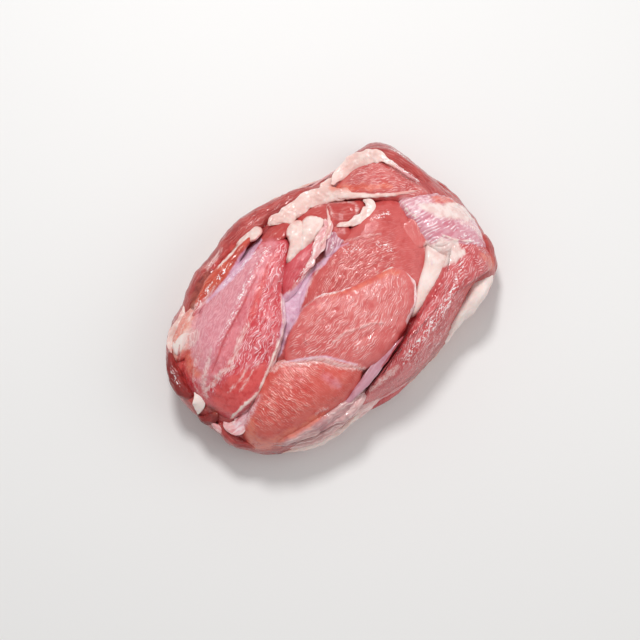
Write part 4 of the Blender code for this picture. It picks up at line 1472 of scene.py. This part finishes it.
    # The right muscle along the near side.
    right: tuple[Mark, ...] = (
        # Dark red along the right muscle's two grooves: partly painted shade.
        *marks(Layer.BLOOD_AND_SHADE, [(59, -39, 0.3), (51, -41, 0.5), (45, -42, 0.6), (38, -44, 0.7),
               (30, -45, 0.5)], rise=-1.0, soft=1.6),
        *marks(Layer.BLOOD_AND_SHADE, [(31, -45, 0.6), (22, -48, 1.0), (11, -52, 1.2), (2, -55, 1.0),
               (-5, -58, 0.5)], rise=-1.2, soft=1.8),
        *marks(Layer.FROST, [(6, -60, 1.2), (-2, -60, 1.6), (-9, -60, 1.2), (-15, -60, 0.8)]),
        *marks(Layer.CALM, [(6, -57), (-20, -58), (-28, -65), (-4, -72), (16, -70), (12, -64)],
               soft=3.0),
        *marks(Layer.ROUGH, [(76, -36, 3.0), (60, -46, 5.0), (40, -53, 5.0), (22, -58, 3.0)],
               soft=3.0),
        *marks(Layer.SHAPE, [(75, -41, 1.5), (58, -49, 1.8), (40, -54, 1.8), (20, -60, 1.5),
               (2, -63, 1.2)], rise=0.7, soft=2.4),
        # Painted highlights: white sparkle dashes along the right muscle's crest.
        *marks(Layer.PAINTED_GLINT, [(74, -38, 1.4), (56, -48, 1.8), (40, -53, 2.0), (22, -57, 1.4),
               (10, -60, 0.8)]),
        *marks(Layer.WARM, [(88, -42, 1.6), (91, -46, 2.4), (89, -50, 2.0)]),
    )
    # The skin at the right end, with its fat, streaks and torn bits.
    skin: tuple[Mark, ...] = (
        *marks(Layer.PALE, [(71, 15), (77, 11), (85, 5), (81, 0), (76, 2), (73, 0), (70, 7)]),
        *marks(Layer.CREAM, [(77, 5), (83, 2), (88, -3), (96, -7), (103, -13), (103, -22),
               (98, -21), (92, -18), (88, -15), (85, -12), (81, -8), (78, -1)], rise=0.7, soft=1.6,
               on="skin_cap"),
        *marks(Layer.CALM, [(74, 6), (84, 2), (97, -8), (101, -20), (96, -40), (88, -24), (84, -12),
               (77, -1)], soft=2.0),
        *marks(Layer.FAT, [(71, 12, 0.3), (70, 6, 0.5), (71, 1, 0.5)]),
        *marks(Layer.PALE, [(88, -15, 0.8), (93, -20, 3.0), (99, -26, 4.0), (98, -36, 2.4)],
               on="skin_cap"),
        *marks(Layer.FROST, [(90, -18, 0.8), (95, -22, 1.4), (97, -30, 1.0)]),
        *marks(Layer.WARM, [(86, 4.5), (93, 2.5), (97, -4), (97, -9), (92, -6), (88, -3),
               (85.5, 0.5)], rise=0.9),
        # Dark red in a shallow groove on the skin: partly painted shade.
        *marks(Layer.BLOOD_AND_SHADE, [(83, 0, 0.2), (88, -4, 0.3), (93, -6, 0.2)], rise=-0.3),
        *marks(Layer.CREAM, [(66, -14), (69, -18), (74, -18), (77, -22), (81, -24), (80, -30),
               (80, -34), (75, -35), (71, -35), (65, -33), (62, -28), (61, -22)], rise=0.5,
               soft=2.0),
        # Dark red spots on the skin: partly painted shade.
        *marks(Layer.BLOOD_AND_SHADE, [(69, -27, 0.4), (73, -30, 1.0), (73, -32, 0.6)], [(94, -11, 0.4),
               (95, -11, 0.4)]),
        # Dark red in shallow grooves on the skin: partly painted shade.
        *marks(Layer.BLOOD_AND_SHADE, [(70, -18, 0.2), (69, -20, 0.3), (72, -23, 0.35), (75, -24, 0.3),
               (77, -24, 0.2)], rise=-0.7),
        *marks(Layer.BLOOD_AND_SHADE, [(66, -18, 0.3), (67, -19, 0.3)], rise=-0.5),
        *marks(Layer.FAT, [(76, -18, 0.4), (78, -21, 0.6), (80, -25, 0.5)], rise=0.9),
        *marks(Layer.FAT, [(81, -25, 0.4), (84, -28, 0.6), (88, -31, 0.3)], rise=0.8),
        # Painted highlights: white sparkle dashes on the skin at the right end.
        *marks(Layer.PAINTED_GLINT, [(82, -27, 1.0), (86, -26, 1.4), (89, -31, 1.0)]),
        *marks(Layer.LILAC, [(60, -27, 0.2), (64, -22, 0.25), (66, -16, 0.2)]),
    )
    # The top muscle, the dark muscle beside it and the strips between them.
    upper: tuple[Mark, ...] = (
        *marks(Layer.WARM, [(46, 46, 2.0), (51, 42, 2.0), (57, 36, 2.0), (64, 30, 1.4),
               (72, 24, 0.8)]),
        # Painted highlights: white sparkle dashes on the top muscle and the strips.
        *marks(Layer.PAINTED_GLINT, [(80, 41, 0.9), (84, 34, 1.2), (87, 25, 1.2), (88, 16, 0.8)],
               [(88, 47, 1.0), (91, 41, 1.4), (94, 33, 1.0)], [(27, 24, 0.5), (24, 20, 0.6),
               (20, 18, 0.4)], [(12, 24, 1.0), (6, 21, 1.6), (0, 18, 1.4), (-8, 16, 0.8)]),
        *marks(Layer.FROST, [(30, 44, 0.3), (38, 41, 0.4), (45, 35, 0.4)], [(12, 20, 0.3),
               (7, 18, 0.4), (0, 16, 0.4), (-8, 15, 0.4), (-18, 14, 0.4)]),
        *marks(Layer.FROST, [(47, 34, 0.3), (49, 30, 0.5), (47, 26, 0.5), (44, 24, 0.3)], rise=0.3),
        *marks(Layer.FROST, [(37, 40, 0.3), (36, 37, 0.4), (34, 33, 0.5)], rise=0.4),
    )
    # The band of meat and fat along the far side.
    side: tuple[Mark, ...] = (
        *marks(Layer.FAT, [(-12, 58, 0.8), (-17, 57, 0.9), (-24, 55, 0.9), (-29, 54, 0.8),
               (-34, 54, 0.5), (-38, 53, 0.3)]),
        *marks(Layer.WARM, [(-18, 57), (-30, 55.5), (-42, 53.5), (-54, 50), (-66, 44), (-60, 41),
               (-46, 46), (-28, 50)], on="side_roll"),
        *marks(Layer.BROWN, [(-68, 44), (-62, 50), (-54, 55), (-45, 57), (-40, 54.5), (-46, 51),
               (-54, 48.5), (-62, 44)], on="side_roll"),
        *marks(Layer.RED, [(-20, 59, 1.2), (-28, 57, 1.6), (-36, 56, 1.6), (-42, 55, 0.8)]),
        *marks(Layer.FROST, [(-28, 62, 0.6), (-35, 60, 1.2), (-42, 58.5, 1.0)], on="side_roll"),
        *marks(Layer.FROST, [(-46, 46, 0.4), (-54, 44, 0.6), (-62, 42, 0.5)]),
        # Painted highlights: white sparkle dashes along the far side band.
        *marks(Layer.PAINTED_GLINT, [(-30, 50, 0.8), (-42, 48, 1.2), (-54, 46, 1.2), (-64, 43, 0.8)]),
    )

    def all(self) -> tuple[Mark, ...]:
        """Every mark, region by region."""
        return (self.left + self.gaps + self.middle + self.lower + self.right + self.skin
                + self.upper + self.side)


@dataclass(frozen=True)
class Lamp:
    """A round soft light, aimed at the meat; metres and watts."""

    name: str
    place: tuple[float, float, float]
    width: float
    power: float

    def build(self) -> None:
        """Hang the light."""
        data = bpy.data.lights.new(self.name, "AREA")
        data.shape = "DISK"
        data.size = self.width
        data.energy = self.power
        lamp = bpy.data.objects.new(self.name, data)
        lamp.location = self.place
        lamp.rotation_euler = Vector(self.place).to_track_quat("Z", "Y").to_euler()
        bpy.context.scene.collection.objects.link(lamp)


@dataclass(frozen=True)
class Studio:
    """Floor, light and camera."""

    aim: tuple[float, float, float] = (-7.9, -5.65, 0.0)
    azimuth: float = -40.0
    elevation: float = 84.0
    lens: float = 85.0
    sensor: float = 36.0
    pixel: float = 0.62
    frame_pixels: int = 640
    floor_size: float = 6.0
    floor_colour: tuple[float, float, float, float] = (0.80, 0.79, 0.78, 1.0)
    floor_roughness: float = 0.6
    surround: float = 0.52
    lamps: tuple[Lamp, ...] = (
        Lamp("key_light", (0.26, 0.50, 1.0), 0.22, 7.0),
        Lamp("fill_light", (0.9, -0.7, 0.9), 1.2, 4.5),
    )

    def floor(self) -> None:
        """A plain pale floor that meets the meat's flat underside."""
        sheet = bmesh.new()
        bmesh.ops.create_grid(sheet, x_segments=1, y_segments=1, size=self.floor_size / 2)
        mesh = bpy.data.meshes.new("floor")
        sheet.to_mesh(mesh)
        sheet.free()
        shading = Shading("pale_floor")
        shading.shader.inputs["Base Color"].default_value = self.floor_colour
        shading.shader.inputs["Roughness"].default_value = self.floor_roughness
        mesh.materials.append(shading.material)
        floor = bpy.data.objects.new("floor", mesh)
        bpy.context.scene.collection.objects.link(floor)

    def camera(self) -> None:
        """Look down at the meat from the photograph's angle and distance."""
        turn, tilt = math.radians(self.azimuth), math.radians(self.elevation)
        back = Vector((math.sin(turn) * math.cos(tilt), -math.cos(turn) * math.cos(tilt),
                       math.sin(tilt)))
        distance = self.frame_pixels * self.pixel * self.lens / self.sensor
        data = bpy.data.cameras.new("camera")
        data.lens = self.lens
        data.sensor_width = self.sensor
        camera = bpy.data.objects.new("camera", data)
        camera.location = (Vector(self.aim) + back * distance) * MM
        camera.rotation_euler = back.to_track_quat("Z", "Y").to_euler()
        bpy.context.scene.collection.objects.link(camera)
        bpy.context.scene.camera = camera

    def light(self) -> None:
        """Soft key light from the photo's top, a weak fill and a pale surround."""
        for lamp in self.lamps:
            lamp.build()
        world = bpy.data.worlds.new("surround")
        world.use_nodes = True
        backdrop = world.node_tree.nodes["Background"]
        backdrop.inputs["Color"].default_value = WHITE
        backdrop.inputs["Strength"].default_value = self.surround
        bpy.context.scene.world = world
        bpy.context.scene.view_settings.view_transform = "Standard"


def main() -> None:
    """Build every piece in order, then the studio."""
    logging.basicConfig(level=logging.INFO, format="%(message)s")
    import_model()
    mound = Mound(SIDE_OUTLINE)
    every = Markings().all()
    forms: list[Form] = [Core("core", CORE_FLESH, uneven=0.5), *Muscles().forms(),
                         *FatRidges().forms(), *SideWall().forms()]
    materials: dict[str, bpy.types.Material] = {}
    for form in forms:
        if form.finish.name not in materials:
            materials[form.finish.name] = MeatMaterial(form.finish).build()
        form.build(mound, every, materials[form.finish.name])
    studio = Studio()
    studio.floor()
    studio.camera()
    studio.light()


if __name__ == "__main__":
    main()
